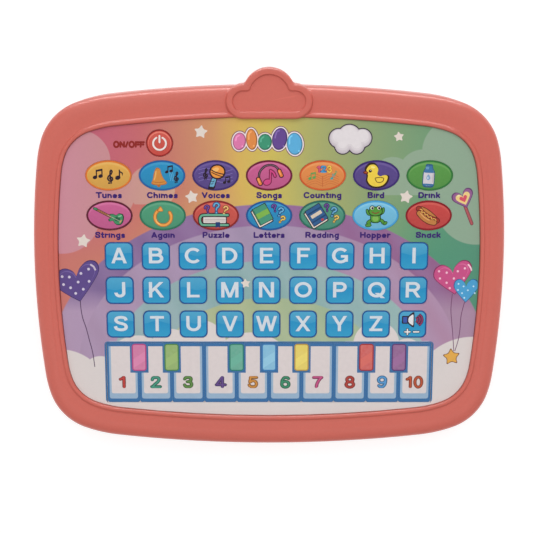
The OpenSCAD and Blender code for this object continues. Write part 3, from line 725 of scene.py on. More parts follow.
class Solid:
    """Collects closed lofts into one mesh."""

    def __init__(self):
        self.points, self.faces = [], []

    def loft(self, rings):
        """Skins rings that run anticlockwise seen from above and go from inside up and over."""
        start, n = len(self.points), len(rings[0])
        last = start + (len(rings) - 1) * n
        for ring in rings:
            self.points += ring
        for a in range(start, last, n):
            for i in range(n):
                j = (i + 1) % n
                self.faces.append((a + i, a + j, a + n + j, a + n + i))
        self.faces.append(tuple(start + i for i in range(n))[::-1])
        self.faces.append(tuple(last + i for i in range(n)))

    def tube(self, x, y, outer, bore, low, high):
        """A boss with a blind bore from below."""
        profile = ((bore, high - 2), (bore, low), (outer - 0.2, low), (outer, low + 0.2), (outer, high))
        self.loft([at_height(ellipse(x, y, r, steps=32), z) for r, z in profile])

    def bar(self, x, y, w, h, low, high):
        self.loft([at_height(rounded(x, y, w, h, 0.3, steps=3), z) for z in (low, high)])

    def make(self, name, material, sharp=35):
        """The mesh as a piece of the housing, smooth but for edges sharper than this angle."""
        made = add_piece(name, self.points, self.faces, [material], "case", "housing")
        made.data.polygons.foreach_set("use_smooth", [True] * len(made.data.polygons))
        made.data.set_sharp_from_angle(angle=math.radians(sharp))
        return made


CROWN_W = 8
CROWN_H = 6
CROWN_POWER = 2.8  # 2 would be a quarter of an ellipse, more is squarer
VALLEY_DROP = 0.4
VALLEY_W = 4.6
LIP_W = 2.4
LIP_RISE = 0.7
LIP_H = VALLEY_DROP + LIP_RISE
FOOT_R = 0.5  # radius of the hollow at the foot of the lip
WALL = 2.4
SEAM = 0.3
CASE_BOSSES = ((104, 58), (-104, 58), (104, -62), (-104, -62), (0, 81), (0, -90))
BOARD_BOSSES = [(62 + x, 20 + y) for x in (-31.5, 31.5) for y in (-21.5, 21.5)]
# middle, width and height of each rib
RIBS = [(0, y, 170, 1.4) for y in (-76, 62)] + [(x, 0, 1.4, 96) for x in (-100, 20, 102)]


def front_shell(material):
    """The bezel: side wall, crown, shallow valley and the rounded lip round the window."""
    crown_z, valley_z, under_z = body_t - CROWN_H, body_t - VALLEY_DROP, seat_z - 2
    wall = [(WALL + 4, under_z), (WALL, under_z - 4), (WALL, seam_z + 1.3), (1.2, seam_z + 1.3)]
    wall += [(1.2, seam_z), (SEAM, seam_z), (0.06, seam_z + 0.12), (0, seam_z + SEAM), (0, seam_z + 1)]
    wall.append((0, crown_z - 2))
    for c, s in sweep(0, 91, 6):
        out, up = abs(c) ** (2 / CROWN_POWER), s ** (2 / CROWN_POWER)
        wall.append((CROWN_W * (1 - out), crown_z + CROWN_H * up))
    rings = BODY.rings(wall)
    crown, valley = BODY.ring(CROWN_W), WINDOW.ring(-VALLEY_W)
    for share in (0.2, 0.4, 0.6, 0.8, 1.0):
        ease_down = share * share * (3 - 2 * share)
        rings.append(mixed_ring(crown, valley, share, body_t - VALLEY_DROP * ease_down))
    lip = [(-LIP_W - FOOT_R + FOOT_R * s, valley_z + FOOT_R * (1 - c) * 0.6) for c, s in sweep(0, 61, 30)]
    lip += [(-LIP_W / 2 * (1 + c), valley_z + LIP_H * s) for c, s in sweep(30, 181, 10)]
    rings += WINDOW.rings(lip + [(0, film_high.z - 0.3), (0, seat_z)])
    solid = Solid()
    solid.loft(rings)
    top = under_z + 0.01
    for x, y in CASE_BOSSES:
        solid.tube(x, y, outer=4, bore=1.43, low=8, high=top)
    for x, y in BOARD_BOSSES:
        solid.tube(x, y, outer=3, bore=1.03, low=15.1, high=top)
    for rib in RIBS:
        solid.bar(*rib, under_z - 1.8, top)
    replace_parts(solid.make("front_shell", material), "front_housing")


# The cloud crest: two side lobes and a flat base, blended into a middle lobe
CREST_MID_R = 14.2
CREST_SIDE_R = 9.2
CREST_SIDE_X = 13.7
CREST_BLEND = 1.4
crest_mid_y = front_high.y - CREST_MID_R
crest_base_y = crest_mid_y - 12.7
crest_z = front_high.z
CREST_HUB = np.array((0.0, crest_base_y + 9.5))
CREST_STEPS = 288
CREST_REACH = 40.0  # further from the hub than any point of the outline
NEAR_CREST_Y = 40  # the crest touches only what lies above this
BEHIND_Z = 24.0  # most height of the crest's foot where it leaves the bezel
HOOD_TOP = 22.0  # height at which the hood passes over the bezel


def crest_distance(p):
    """Signed distance of points from the crest's outline."""
    mid = np.hypot(p[:, 0], p[:, 1] - crest_mid_y) - CREST_MID_R
    side_x = np.abs(p[:, 0]) - CREST_SIDE_X
    side = np.hypot(np.maximum(side_x, 0), p[:, 1] - crest_base_y - CREST_SIDE_R) - CREST_SIDE_R
    h = np.maximum(CREST_BLEND - np.abs(mid - side), 0) / CREST_BLEND
    both = np.minimum(mid, side) - h * h * CREST_BLEND / 4
    return np.maximum(both, crest_base_y - p[:, 1])


def crest_ring(inset):
    """Points of the crest's outline at this inset, as an array."""
    a = np.arange(CREST_STEPS) * 2 * np.pi / CREST_STEPS
    way = np.stack([np.cos(a), np.sin(a)], 1)
    low, high = np.zeros(CREST_STEPS), np.full(CREST_STEPS, CREST_REACH)
    for _ in range(36):
        mid = (low + high) / 2
        hit = crest_distance(CREST_HUB + way * mid[:, None]) < -inset
        low, high = np.where(hit, mid, low), np.where(hit, high, mid)
    return CREST_HUB + way * low[:, None]


def depth_inside(p, ring):
    """How far inside the upper part of a ring each point lies, negative outside."""
    a = np.array(ring)
    b = np.roll(a, -1, 0)
    upper = a[:, 1] > NEAR_CREST_Y
    a, b = a[upper], b[upper]
    side, away = b - a, p[:, None, :] - a[None]
    t = np.clip((away * side[None]).sum(2) / (side * side).sum(1), 0, 1)
    gap = away - t[:, :, None] * side[None]
    size = np.hypot(gap[:, :, 0], gap[:, :, 1])
    near, rows = size.argmin(1), np.arange(len(p))
    cross = side[near, 0] * away[rows, near, 1] - side[near, 1] * away[rows, near, 0]
    return np.sign(cross) * size[rows, near]


def ease(low, high, value):
    t = np.clip((value - low) / (high - low), 0, 1)
    return t * t * (3 - 2 * t)


def bezel_top(body, window):
    """Height of the bezel at these depths inside the body's and the window's outlines."""
    curve = np.clip(1 - body / CROWN_W, 0, 1)
    z = body_t - CROWN_H + CROWN_H * (1 - curve**CROWN_POWER) ** (1 / CROWN_POWER)
    z = z - VALLEY_DROP * ease(-9, -VALLEY_W, window)
    bead = np.clip(1 - ((window + LIP_W / 2) / (LIP_W / 2)) ** 2, 0, 1)
    return z + LIP_H * np.sqrt(bead)


def crest_cap(material):
    """The cloud: a rounded rim round a sunken panel, a fillet on the bezel and a hood behind."""
    body_ring, window_ring = BODY.ring(0), WINDOW.ring(0)

    def depths(p):
        return depth_inside(p, body_ring), depth_inside(p, window_ring)

    def at_heights(p, heights):
        return [(float(x), float(y), float(h)) for (x, y), h in zip(p, heights)]

    def hood(inset, low):
        """A ring that hangs down behind the bezel and passes over the top of it."""
        p = crest_ring(inset)
        return at_heights(p, low + (HOOD_TOP - low) * ease(-0.6, 1.6, depths(p)[0]))

    def fillet(side, up):
        """A ring on the bezel's surface, moved out by side and lifted by up."""
        body, window = depths(crest_ring(0))
        on = ease(0.3, 2.5, body) * ease(0.0, 2.6, -window)
        p = crest_ring(0) * (1 - on[:, None]) + crest_ring(-side) * on[:, None]
        body, window = depths(p)
        level = bezel_top(body, window) + up
        behind = np.where(window > -3, BEHIND_Z, np.minimum(level, BEHIND_Z))
        return at_heights(p, level * on + (1 - on) * behind)

    rings = [hood(2.2, 21.0), hood(2.2, 13.0), hood(0.3, 13.0), hood(0.0, 13.3)]
    foot, edge, rim_w, drop, well = 0.8, 1.5, 3.6, 1.4, 0.6
    floor_z = crest_z - drop
    for c, s in (cos_sin(22.5 * k) for k in range(5)):
        rings.append(fillet(foot * (1 - s), foot * (1 - c) - 0.02))
    profile = [(edge * (1 - c), crest_z - edge * (1 - s)) for c, s in sweep(0, 91, 10)]
    profile += [(rim_w - well + well * s, crest_z - well * (1 - c)) for c, s in sweep(15, 91, 15)]
    profile += [(rim_w + well * (1 - c), floor_z + well * (1 - s)) for c, s in sweep(0, 91, 18)]
    for inset, z in profile:
        rings.append(at_heights(crest_ring(inset), [z] * CREST_STEPS))
    panel = crest_ring(rim_w + well)
    for share, lift in ((0.8, 0.03), (0.55, 0.07), (0.3, 0.1), (0.08, 0.11)):
        rings.append(at_heights(CREST_HUB + (panel - CREST_HUB) * share, [floor_z + lift] * CREST_STEPS))
    solid = Solid()
    solid.loft(rings)
    solid.make("crest_cap", material, sharp=50)


# ---- Printed film ----

PICTURE_HALF = 116  # half the width that the colours of the sky are spread over
RAINBOW_FOOT = 60.5  # how far below the origin the rainbow's bands have their middle


def film_picture():
    """The pastel sky, clouds, rainbow and white hills, worked out from the place in millimetres."""
    g = Graph("film_picture", Roughness=0.34, IOR=1.46)
    x, y, _ = g.place()
    across = (x + PICTURE_HALF) * (0.5 / PICTURE_HALF)

    def discs(*circles, soft=0.5, flat=1.0):
        """What lies inside any of these circles: middle and radius."""
        return g.most(*(g.inside(g.length(x - cx, (y - cy) * flat) - r, soft) for cx, cy, r in circles))

    def above(line, shape):
        return g.math("MINIMUM", shape, g.inside(line - y, 0.5))

    def arch(a, b):
        return g.inside((g.length(x * (1 / a), (y + RAINBOW_FOOT) * (1 / b)) - 1) * b, 0.6)

    def column(middle, half):
        return g.inside(g.math("ABSOLUTE", x - middle) - half, 0.6)

    along = across + (g.noise(55, 1.0) - 0.5) * 0.10
    high = {
        0.0: (196, 106, 130), 0.09: (194, 98, 118), 0.21: (198, 108, 106), 0.30: (199, 128, 106),
        0.38: (206, 148, 104), 0.45: (213, 176, 92), 0.52: (204, 185, 92), 0.62: (172, 172, 106),
        0.71: (146, 162, 114), 0.82: (122, 156, 118), 0.93: (98, 152, 118), 1.0: (94, 148, 120),
    }
    low = {
        0.0: (198, 116, 108), 0.14: (200, 124, 106), 0.26: (206, 148, 104), 0.38: (212, 180, 100),
        0.5: (206, 188, 100), 0.62: (166, 174, 110), 0.74: (120, 162, 116), 0.88: (84, 148, 118),
        1.0: (84, 144, 118),
    }
    picture = g.mix(g.fade(y, -1 / 40, 1.0), g.ramp(along, high), g.ramp(along, low))
    magenta = g.inside(-1 * y + 60 + x * 0.1, 26) * 0.5 * g.inside(x + 72, 50)
    picture = g.mix(magenta, picture, rgb(190, 96, 116))

    # pale clouds that let the sky through
    left = discs((-101, 55, 16.3), (-112, 25, 20.5), (-88, 38, 16), (-112, 42, 17))
    left = g.most(left, above(31.5, discs((-63, 40, 12.5))))
    salmon = {0.0: (203, 142, 157), 0.45: (199, 144, 146), 1.0: (205, 165, 140)}
    picture = g.mix(left * 0.9, picture, g.ramp((x + 114) * (1 / 64), salmon))
    right = discs((99, 60, 17.5), (112, 32, 22.5), (98, 42, 15))
    right = g.most(right, above(36.5, discs((66, 46, 11), (82, 48, 13))))
    picture = g.mix(right * 0.85, picture, rgb(149, 170, 148))

    # rainbow: the half width and the height of each band, its colours and its pale rays
    rays = g.math("SINE", x * 0.33 + y * 0.2 + (g.noise(40, 1.0) - 0.5) * 3.0) * 0.5 + 0.5
    bands = (
        (121, 92, (128, 104, 148), (150, 108, 152), (146, 98, 138), (152, 126, 166)),
        (105, 80.5, (168, 142, 170), (160, 142, 170), (174, 136, 164), (178, 154, 184)),
        (87, 61, (150, 173, 177), (136, 170, 168), (154, 182, 180), (164, 184, 188)),
        (61, 40.5, (178, 182, 136), (166, 180, 142), (144, 178, 158), (184, 192, 156)),
    )
    faded = g.ramp(across, {0.0: (176, 150, 178), 0.5: (160, 130, 165), 1.0: (170, 138, 162)})
    for a, b, first, mid, last, pale in bands:
        band = g.mix(rays * 0.35, g.ramp(across, {0.1: first, 0.5: mid, 0.9: last}), rgb(*pale))
        if a == bands[0][0]:
            band = g.mix(g.fade(y, -1 / 12, -1.3), band, faded)
        picture = g.mix(arch(a, b), picture, band)
    picture = g.mix(discs((6, -52, 8), soft=60, flat=1.6) * 0.35, picture, rgb(158, 184, 150))

    # white hills, with a green dip between the middle ones
    dip = column(16, 26) * g.inside(-46.2 - y, 0.5)
    hills = g.most(
        g.inside(y + 44.5, 0.6) * column(0, 88) * (1 - dip),
        discs((-115, -75, 25.8), (-93, -63, 10), (-72, -60, 18.8), (-38, -47, 14.6), (-54, -49, 11.5)),
        discs((-10, -64, 24.5), (59, -46, 12.6), (76, -52, 9), (112, -75, 33)),
        g.inside(y + 66, 0.6),
    )
    picture = g.mix(hills, picture, g.mix(g.noise(26), rgb(213, 204, 202), rgb(222, 212, 209)))

    # the faint mottling and long soft ripples of a laminated print
    broad = g.noise(22, 2.0, (3.0, 0.8, 1.0))
    mottling = g.math("MULTIPLY_ADD", g.noise(1.1), 0.05, 0.955) + broad * 0.02
    g.bump(broad * 4.0 + g.noise(7, 1.0) * 0.5, 0.05)
    return g.colour(g.node("HueSaturation", 0, {"Value": mottling, "Color": picture}))


def letter_material():
    """Blue key with a paler upper half under a wavy edge."""
    g = laminate("letter_blue")
    x, y, _ = g.place("Generated")
    wave = g.math("SINE", x * 4.2 + g.place()[0] * 0.11) * 0.055
    lower = g.mix(y * 1.6, rgb(52, 156, 198), rgb(34, 142, 194))
    upper = g.mix((y - 0.5) * 2, rgb(58, 152, 196), rgb(82, 166, 202))
    blue = g.mix(g.inside(0.56 + wave - y, 0.03), lower, upper)
    return g.colour(g.mix(1.0, blue, g.tint((1.0, 1.0, 1.0, 1.0), 0.05, 1.5), "MULTIPLY"))


OVAL_W = 24.8
OVAL_H = 16.2


def oval_material(name, colour, pale):
    """An oval of one colour, darker below, with a pale crescent inside its upper edge."""
    g = laminate("oval_" + name)
    x, y, _ = g.place("Generated")
    dx, dy = (x - 0.5) * OVAL_W, (y - 0.5) * OVAL_H

    def oval(a, b, drop=0.0):
        return g.inside((g.length(dx * (1 / a), (dy + drop) * (1 / b)) - 1) * b, 0.5)

    crescent = oval(11.4, 7.1) * (1 - oval(11.6, 7.0, 1.1))
    base = g.mix(y, rgb(*(c * 0.9 for c in colour)), rgb(*colour))
    mottled = g.mix(g.noise(1.4) * 0.16, base, rgb(*pale))
    return g.colour(g.mix(crescent * 0.35, mottled, rgb(*pale)))


DARK = (44, 30, 44)
LEFT_EDGE = -114.0  # where the film cuts the balloons off
RIGHT_EDGE = 113.6


def film_stars(p):
    stars = ((-36.3, 70.3, 4.0, -8), (-41.5, 35.5, 4.0, 10), (-100.5, 11.5, 4.2, -10))
    stars += ((69, 67.8, 3.0, 8), (73.5, 35.5, 4.0, -12), (-12.8, -12.0, 2.9, 6))
    for place in stars:
        p.put((223, 210, 200), star(*place), 0)


def piano_frame(p):
    piano_hole = rounded(0, -62.45, 179.72, 34.22, 0.05, steps=1)
    p.ring(PIANO_BLUE, rounded(0, -62.1, 181.2, 34.9, 1.8), piano_hole)


def left_balloon(p):
    """A spotted purple heart on a string."""
    edge, fill = (58, 40, 92), (92, 72, 134)

    def left_heart(grow, x=-104.3, y=-11.8, w=24.6, h=20.0):
        return clip(heart(x, y, w + 2 * grow, h + 2 * grow, 6, 0.22), LEFT_EDGE)

    p.edged(fill, edge, left_heart, 0.45, 0)
    p.put((118, 98, 160), left_heart(0, -104.5, -11.5, 21.2, 16.8), 2)
    p.put(fill, left_heart(0, -104.8, -11.9, 21.0, 16.6), 3)
    spots = xy("-112.6,-8.2 -112,-12.6 -108.7,-8.4 -108.2,-14.4 -105.5,-17.5 -104,-11.2 -102.3,-6.4")
    p.dots((205, 196, 214), spots + xy("-101.3,-15.2 -98,-10.8 -98.1,-4"), 0.75, 18, 4)
    p.line((196, 182, 200), xy("-96.8,-1.6 -95.4,-2.6 -94.5,-4.3"), 1.0, 4)
    string = xy("-103.1,-21 -103,-25 -102.2,-31 -100.4,-37 -98.8,-44 -97.2,-51 -96.3,-59")
    p.line((74, 48, 82), string, 0.42, 0)


def right_balloons(p):
    """A pink and a blue heart, their strings joined by a star."""
    pink = (198, 80, 132)
    p.line((112, 70, 104), xy("100,-18 99.5,-26 100.2,-34 101.1,-42 101.8,-50"), 0.4, 0)
    p.line((112, 70, 104), xy("106.8,-22.5 105.2,-30 104.8,-38 104,-44 102.4,-50"), 0.4, 0)

    def pink_heart(grow, x=100.3, y=-9.2, w=20.4, h=17.2):
        return heart(x, y, w + 2 * grow, h + 2 * grow, 7, 0.1)

    p.edged(pink, (124, 38, 84), pink_heart, 0.45)
    p.put((214, 108, 154), pink_heart(0, 100.4, -8.9, 17.0, 14.0), 3)
    p.put(pink, pink_heart(0, 100.1, -9.3, 16.8, 13.9), 4)
    spots = xy("92.4,-5.2 96.6,-6 102.6,-5.2 106.4,-3.6 93,-9.2 96.7,-11.6 100.6,-9.2")
    p.dots((238, 190, 208), spots + xy("98.5,-14.6 106,-9 104.6,-12.6"), 0.62, 16, 5)
    p.line((242, 206, 216), xy("108.2,-1.6 109.4,-3 110,-4.6"), 0.8, 5)

    def blue_heart(grow):
        return clip(heart(107.4, -16.0, 12.8 + 2 * grow, 12.6 + 2 * grow), RIGHT_EDGE, -1)

    p.edged((76, 158, 206), (40, 84, 140), blue_heart, 0.4, 6)
    spots = xy("103.2,-12.2 106,-13.6 103,-15.6 108.4,-15.8 105.3,-17.4 111.4,-13.6")
    p.dots((186, 220, 236), spots + xy("112.2,-17.4 106.6,-20"), 0.5, 14, 8)
    p.edged((224, 168, 76), (120, 74, 52), lambda grow: star(100.6, -53.4, 4.6 + grow * 1.5, 6), 0.5)


def lollipop(p):
    for level, (colour, width) in enumerate((((118, 60, 74), 1.9), ((176, 88, 92), 1.1))):
        p.put(colour, stroke([(105.2, 31), (109.3, 21)], width), level)
    rings = (((100, 58, 106), 11.9), ((146, 94, 142), 10.7), ((234, 204, 134), 7.8), ((212, 82, 102), 4.2))
    for level, (colour, w) in enumerate(rings):
        p.put(colour, heart(104.5, 34.4, w, w * 0.86, 22), 2 + level)
    p.put((246, 226, 172), ellipse(101.6, 36.2, 0.8, 0.4, 30, 16), 6)


def white_cloud(p):
    puffs = [(36.9, 67.0, 4.9), (42.6, 68.2, 5.9), (49.6, 67.1, 4.8)]
    puffs += [(39.2, 62.9, 4.1), (46.6, 62.9, 4.1), (43, 65, 4)]
    p.edged((196, 186, 192), (58, 44, 62), lambda grow: lumps(puffs, (43.0, 65.0), grow, 128), 0.6, 0)
    shades = (((206, 197, 202), 0.35, 0.5), ((216, 208, 211), 0.7, 1.0), ((224, 217, 219), 1.1, 1.7))
    for colour, lift, less in shades:
        p.put(colour, lumps([(x, y + lift, r - less) for x, y, r in puffs], (43.0, 65.3), 0, 96), 2)


def pebble_row(p):
    """Plain rounded pebbles: middle, radii, turn and colour."""
    pebbles = (
        (-15.8, 65.3, 3.5, 4.7, -6, (218, 120, 168)),
        (-9.3, 66.4, 3.0, 5.6, 4, (222, 138, 72)),
        (-2.2, 65.0, 3.7, 4.3, 0, (62, 146, 114)),
        (5.6, 66.6, 4.0, 5.9, -10, (100, 72, 142)),
        (13.6, 64.0, 4.2, 5.9, 4, (92, 172, 216)),
    )
    for grow, colour, level in ((1.05, (118, 70, 98), 0), (0.65, (234, 222, 220), 2)):
        for x, y, rx, ry, turn, _ in pebbles:
            p.put(colour, ellipse(x, y, rx + grow, ry + grow, turn, 48), level)
    for x, y, rx, ry, turn, colour in pebbles:
        pale = tuple(min(255, c + 34) for c in colour)
        p.put(tuple(int(c * 0.72) for c in colour), ellipse(x, y, rx, ry, turn, 44), 4)
        p.put(colour, ellipse(x - 0.1, y + 0.1, rx - 0.5, ry - 0.5, turn, 40), 5)
        gleam = [(-rx + 1.5, 0.2), (-rx + 1.8, ry - 2.6), (-rx + 3.0, ry - 1.6)]
        p.line(pale, placed(gleam, x, y, 1, turn), 0.75, 6)
        p.put(pale, ellipse(x + rx - 1.9, y - ry + 2.1, 0.5, steps=12), 6)


def captions(p):
    """The on/off marking, and a word under each oval key."""
    drop, height = 10.6, 3.3
    p.say((142, 42, 38), "ON/OFF", -74.7, 63.7, 3.5, 0, weight=3.2, wide=0.9)
    for key, (caption, *_) in OVALS.items():
        low, high = mm_box("key_" + key)
        spot = (low + high) / 2
        x, y = spot.x, spot.y - drop
        p.say((58, 32, 108), caption, x, y, height, 0, weight=2.45, wide=1.06, space=1.3)


def film_print():
    p = Print("film_print", "case", "film", "face_film", (0.0, 0.0))
    film_stars(p)
    piano_frame(p)
    left_balloon(p)
    right_balloons(p)
    lollipop(p)
    white_cloud(p)
    pebble_row(p)
    captions(p)
    p.make()


# ---- Drawings on the oval keys ----


def draw_melody(p):
    p.quaver(DARK, -7.2, -1.0, 1.2, joined=True)
    p.clef(DARK, 0.9, -1.0, 1.25)
    p.quaver(DARK, 5.0, -1.2, 1.4)


def draw_ringing(p):
    brass = (178, 104, 46)
    bell = xy("-2.6,4.2 -1.6,4 -0.9,3.2 -0.3,0.8 1,-2 2.6,-3.9 1.2,-5 -2.2,-5.3 -5,-4.9 -5.8,-4")
    bell += xy("-5,-2.2 -4.4,1 -3.6,3.2 -3.1,4")
    p.put(brass, smooth(bell, 5), 1)
    p.put((206, 138, 62), smooth(placed(bell, -0.17, -0.1, 0.9), 5), 2)
    p.line((226, 172, 98), xy("-3.2,2 -3.5,0 -4.2,-2.2"), 0.7, 3)
    p.line(brass, xy("-4.9,-3.4 -2,-3.8 1.4,-3.4"), 0.35, 3)
    p.put(brass, ellipse(-1.8, -5.6, 0.9, 0.7), 1)
    for k in range(3):
        p.line((110, 184, 222), [(3.6 + k * 0.9, 2.4), (4.2 + k * 0.9, -0.2), (4.6 + k * 0.9, -2.8)], 0.2)
    p.quaver(DARK, 2.6, 1.9, 0.95, joined=True)
    p.clef(DARK, 7.6, -1.2, 1.0)


def draw_singing(p):
    for y in (3, 1, -1, -3):
        p.line((136, 122, 190), [(-9.0, y), (-5.0, y + 0.9), (0, y), (5, y - 0.8), (9.0, y + 0.2)], 0.22)
    p.clef(DARK, -5.4, 0.6, 1.0)
    grip = xy("-1.9,-1.6 0.7,-0.8 -0.9,-6.2 -3.4,-6")
    p.put(DARK, softened(placed(grip, 0.5, 1.1, 1.42), 1, 0.12), 2)
    p.put((104, 166, 198), softened(grip, 1, 0.12), 3)
    p.line(DARK, xy("-2.2,-3.2 -1.2,-3.4 -0.8,-2.8"), 0.3, 4)
    p.line(DARK, xy("-2.6,-4.5 -1.8,-4.6 -1.3,-4.2"), 0.3, 4)
    p.put(DARK, ellipse(1.0, 2.0, 4.4, 4.1), 3)
    p.put((232, 148, 62), ellipse(1.0, 2.0, 3.6, 3.3), 4)
    p.put((244, 184, 104), ellipse(0.2, 3.2, 1.7, 1.1, 20), 5)
    p.line(DARK, xy("-2.4,3.1 0.4,1.6 4.4,0.6"), 0.55, 5)
    p.line(DARK, xy("-2,1.6 0.6,0.4 3.4,-0.6"), 0.45, 5)
    p.quaver(DARK, 4.8, -3.8, 0.9, joined=True)


def draw_music(p):
    band = xy("-5.6,-2.4 -5,1.8 -2.4,4.8 1,5.6 4,4.4 6,1.4")
    p.line(DARK, band, 1.3)
    p.line((120, 92, 104), band, 0.5, 2)
    for x, y in ((-5.2, -3.2), (6.0, 1.2)):
        p.put(DARK, rounded(x, y, 2.5, 5.2, 1.1, 24), 3)
        p.put((226, 124, 62), rounded(x, y, 1.6, 4.2, 0.8, 24), 4)
        p.put((246, 172, 100), rounded(x - 0.3, y + 0.3, 0.5, 2.6, 0.25, 24), 5)
    for colour, grow, level in (((116, 20, 66), 0.5, 2), ((206, 70, 130), 0.0, 4)):
        p.put(colour, ellipse(-1.0, -3.6, 1.9 + grow, 1.4 + grow, 20), level)
        p.put(colour, stroke([(0.6, -3.4), (0.8, 2.6)], 0.7 + 2 * grow), level)
        p.line(colour, xy("0.8,2.6 2.4,1.4 3.2,-0.4"), 0.9 + 2 * grow, level)


def draw_counting(p):
    for y in (0.2 - 1.25 * k for k in range(5)):
        wave = [(-8.6, y - 1.0), (-4.0, y + 0.6), (0, y - 0.8), (4.0, y + 0.6), (8.6, y - 1.0)]
        p.line((198, 110, 58), wave, 0.28)
    p.line((190, 96, 52), [(0, -0.4), (0, -6.0)], 0.3, 2, curved=False)
    digits = (("1", -2.2, (206, 88, 116), (146, 50, 84)), ("2", 0.4, (74, 150, 196), (38, 96, 150)))
    digits += (("3", 3.6, (232, 190, 82), (176, 104, 40)),)
    for text, x, fill, edge in digits:
        p.say(edge, text, x, 3.4, 3.9, 2, weight=3.1)
        p.say(fill, text, x, 3.4, 3.9, 3, weight=1.8)
    p.quaver((86, 160, 86), -6.8, -1.6, 0.9, joined=True)
    p.quaver((70, 158, 158), 4.9, -1.6, 0.85)
    p.quaver((86, 160, 110), 6.6, 0.8, 0.6)


def draw_duck(p):
    edge = (56, 40, 30)
    shape = xy("-5.2,3.4 -3.4,5.6 -0.6,5.6 1,3.4 0.6,0.8 2.2,-0.4 4.4,0.2 6,-0.4 5.6,-3 3.6,-5.2")
    shape += xy("0.2,-6 -2.8,-5.2 -4.6,-2.8 -4.4,0 -5,1.4")

    def body(grow, x=0.2, y=-0.4):
        return smooth([(px + (px - x) * grow / 5.5, py + (py - y) * grow / 5.5) for px, py in shape], 5)

    p.edged((236, 204, 72), edge, body, 0.95, 2)
    p.put((96, 34, 30), ellipse(-5.7, 1.5, 1.4, 0.85, -10, 20), 4)
    p.put((186, 84, 44), ellipse(-5.6, 1.6, 0.8, 0.36, -10, 18), 5)
    p.put(edge, ellipse(-3.2, 2.4, 0.85), 4)
    p.put((240, 236, 224), ellipse(-3.0, 2.7, 0.24, steps=12), 5)
    p.line((98, 66, 34), xy("-0.6,-1.6 0.6,-3.6 3.2,-3.4 4,-1.6 2,-1 -0.4,-1.4"), 0.42, 4)
    p.put((248, 226, 130), ellipse(-1.8, 4.4, 1.2, 0.6, -10, 20), 4)


def draw_milk(p):
    p.at = (p.at[0] + 0.9, p.at[1])
    cap = (62, 114, 160)
    jug = xy("-3.6,-5.8 2.2,-5.8 2.2,1.6 1,3.6 0.8,5.4 -2.4,5.4 -2.6,3.6 -3.6,1.6")
    neck = xy("2.2,1.4 1,3.6 0.8,5.4 -2.4,5.4 -2.6,3.6 -3.6,1.4")
    p.put((42, 82, 128), softened(placed(jug, -0.6, 0.0, 1.12, -3), 2, 0.16), 1)
    p.put((206, 200, 206), softened(placed(jug, -0.7, 0.0, 0.98, -3), 2, 0.16), 2)
    p.put(cap, softened(placed(neck, -0.7, 0.0, 0.98, -3), 2, 0.1), 3)
    p.put((106, 152, 188), rounded(-2.3, 4.0, 1.8, 1.4, 0.4, -4), 4)
    p.put(cap, rounded(-1.7, -5.0, 5.5, 1.1, 0.5, -3), 3)
    p.put((124, 158, 196), smooth(xy("-1.6,0.6 -2.7,-1.3 -1.7,-2.6 -0.6,-1.4"), 6), 3)
    p.put((200, 214, 228), smooth(xy("-1.9,-0.5 -2.3,-1.4 -1.9,-2 -1.5,-1.4"), 5), 4)
    p.put((190, 178, 182), rounded(0.9, -1.3, 0.7, 5.4, 0.3, -3), 3)


def draw_guitar(p):
    edge = (34, 60, 44)
    neck = [(-7.2, 3.4), (0.8, -0.8)]
    p.put(edge, stroke(neck, 1.5), 1)
    p.put((168, 104, 70), stroke(neck, 0.9), 2)
    for k in range(7):
        x, y = -5.8 + k * 1.0, 2.66 - k * 0.525
        p.put((96, 56, 44), stroke([(x - 0.2, y - 0.36), (x + 0.2, y + 0.36)], 0.16), 3)
    p.put(edge, softened(xy("-8.6,3 -9,4.6 -6.4,4.3 -6,2.6")), 3)
    p.put((74, 136, 92), softened(xy("-8.3,3.2 -8.6,4.3 -6.6,4 -6.3,2.9")), 4)
    body = xy("0,0.6 2,0.9 3.4,0.2 5.2,1.2 7.4,0.4 7.6,-2.4 6.4,-4.8 4.2,-5.2 2.6,-4.2 1.8,-3")
    body += xy("-0.2,-3.2 -0.6,-2 0.9,-1")
    p.put(edge, smooth(body, 5), 3)
    p.put((66, 140, 96), smooth(placed(body, 0.36, -0.2, 0.88), 5), 4)
    p.put((40, 96, 66), ellipse(4.2, -1.9, 1.5, 1.3), 5)
    p.line((196, 188, 170), [(-1.0, 0.2), (6.2, -3.5)], 0.22, 6, curved=False)
    p.put((206, 156, 92), rounded(5.9, -3.3, 0.5, 2.0, 0.2, -28), 6)
    p.put((130, 190, 150), ellipse(5.6, -0.4, 1.2, 0.4, 20, 20), 6)


def draw_repeat(p):
    edge, fill = (176, 104, 40), (236, 160, 76)
    arc = ellipse(0.2, -0.9, 4.4, start=35, end=-238, steps=44)
    p.put(edge, stroke(arc, 1.9), 1)
    p.put(fill, stroke(arc, 1.15), 2)
    head = xy("-3.4,2.2 0.8,2 -0.9,5.6")
    p.put(edge, softened(placed(head, 0.1, 0.1, 1.0, 4), 2, 0.18), 3)
    p.put(fill, softened(placed(head, -0.15, 0.95, 0.72, 4), 2, 0.18), 4)
    p.line((250, 200, 130), xy("-3.6,-2 -3.2,-3.4 -1.6,-4.8"), 0.36, 3)


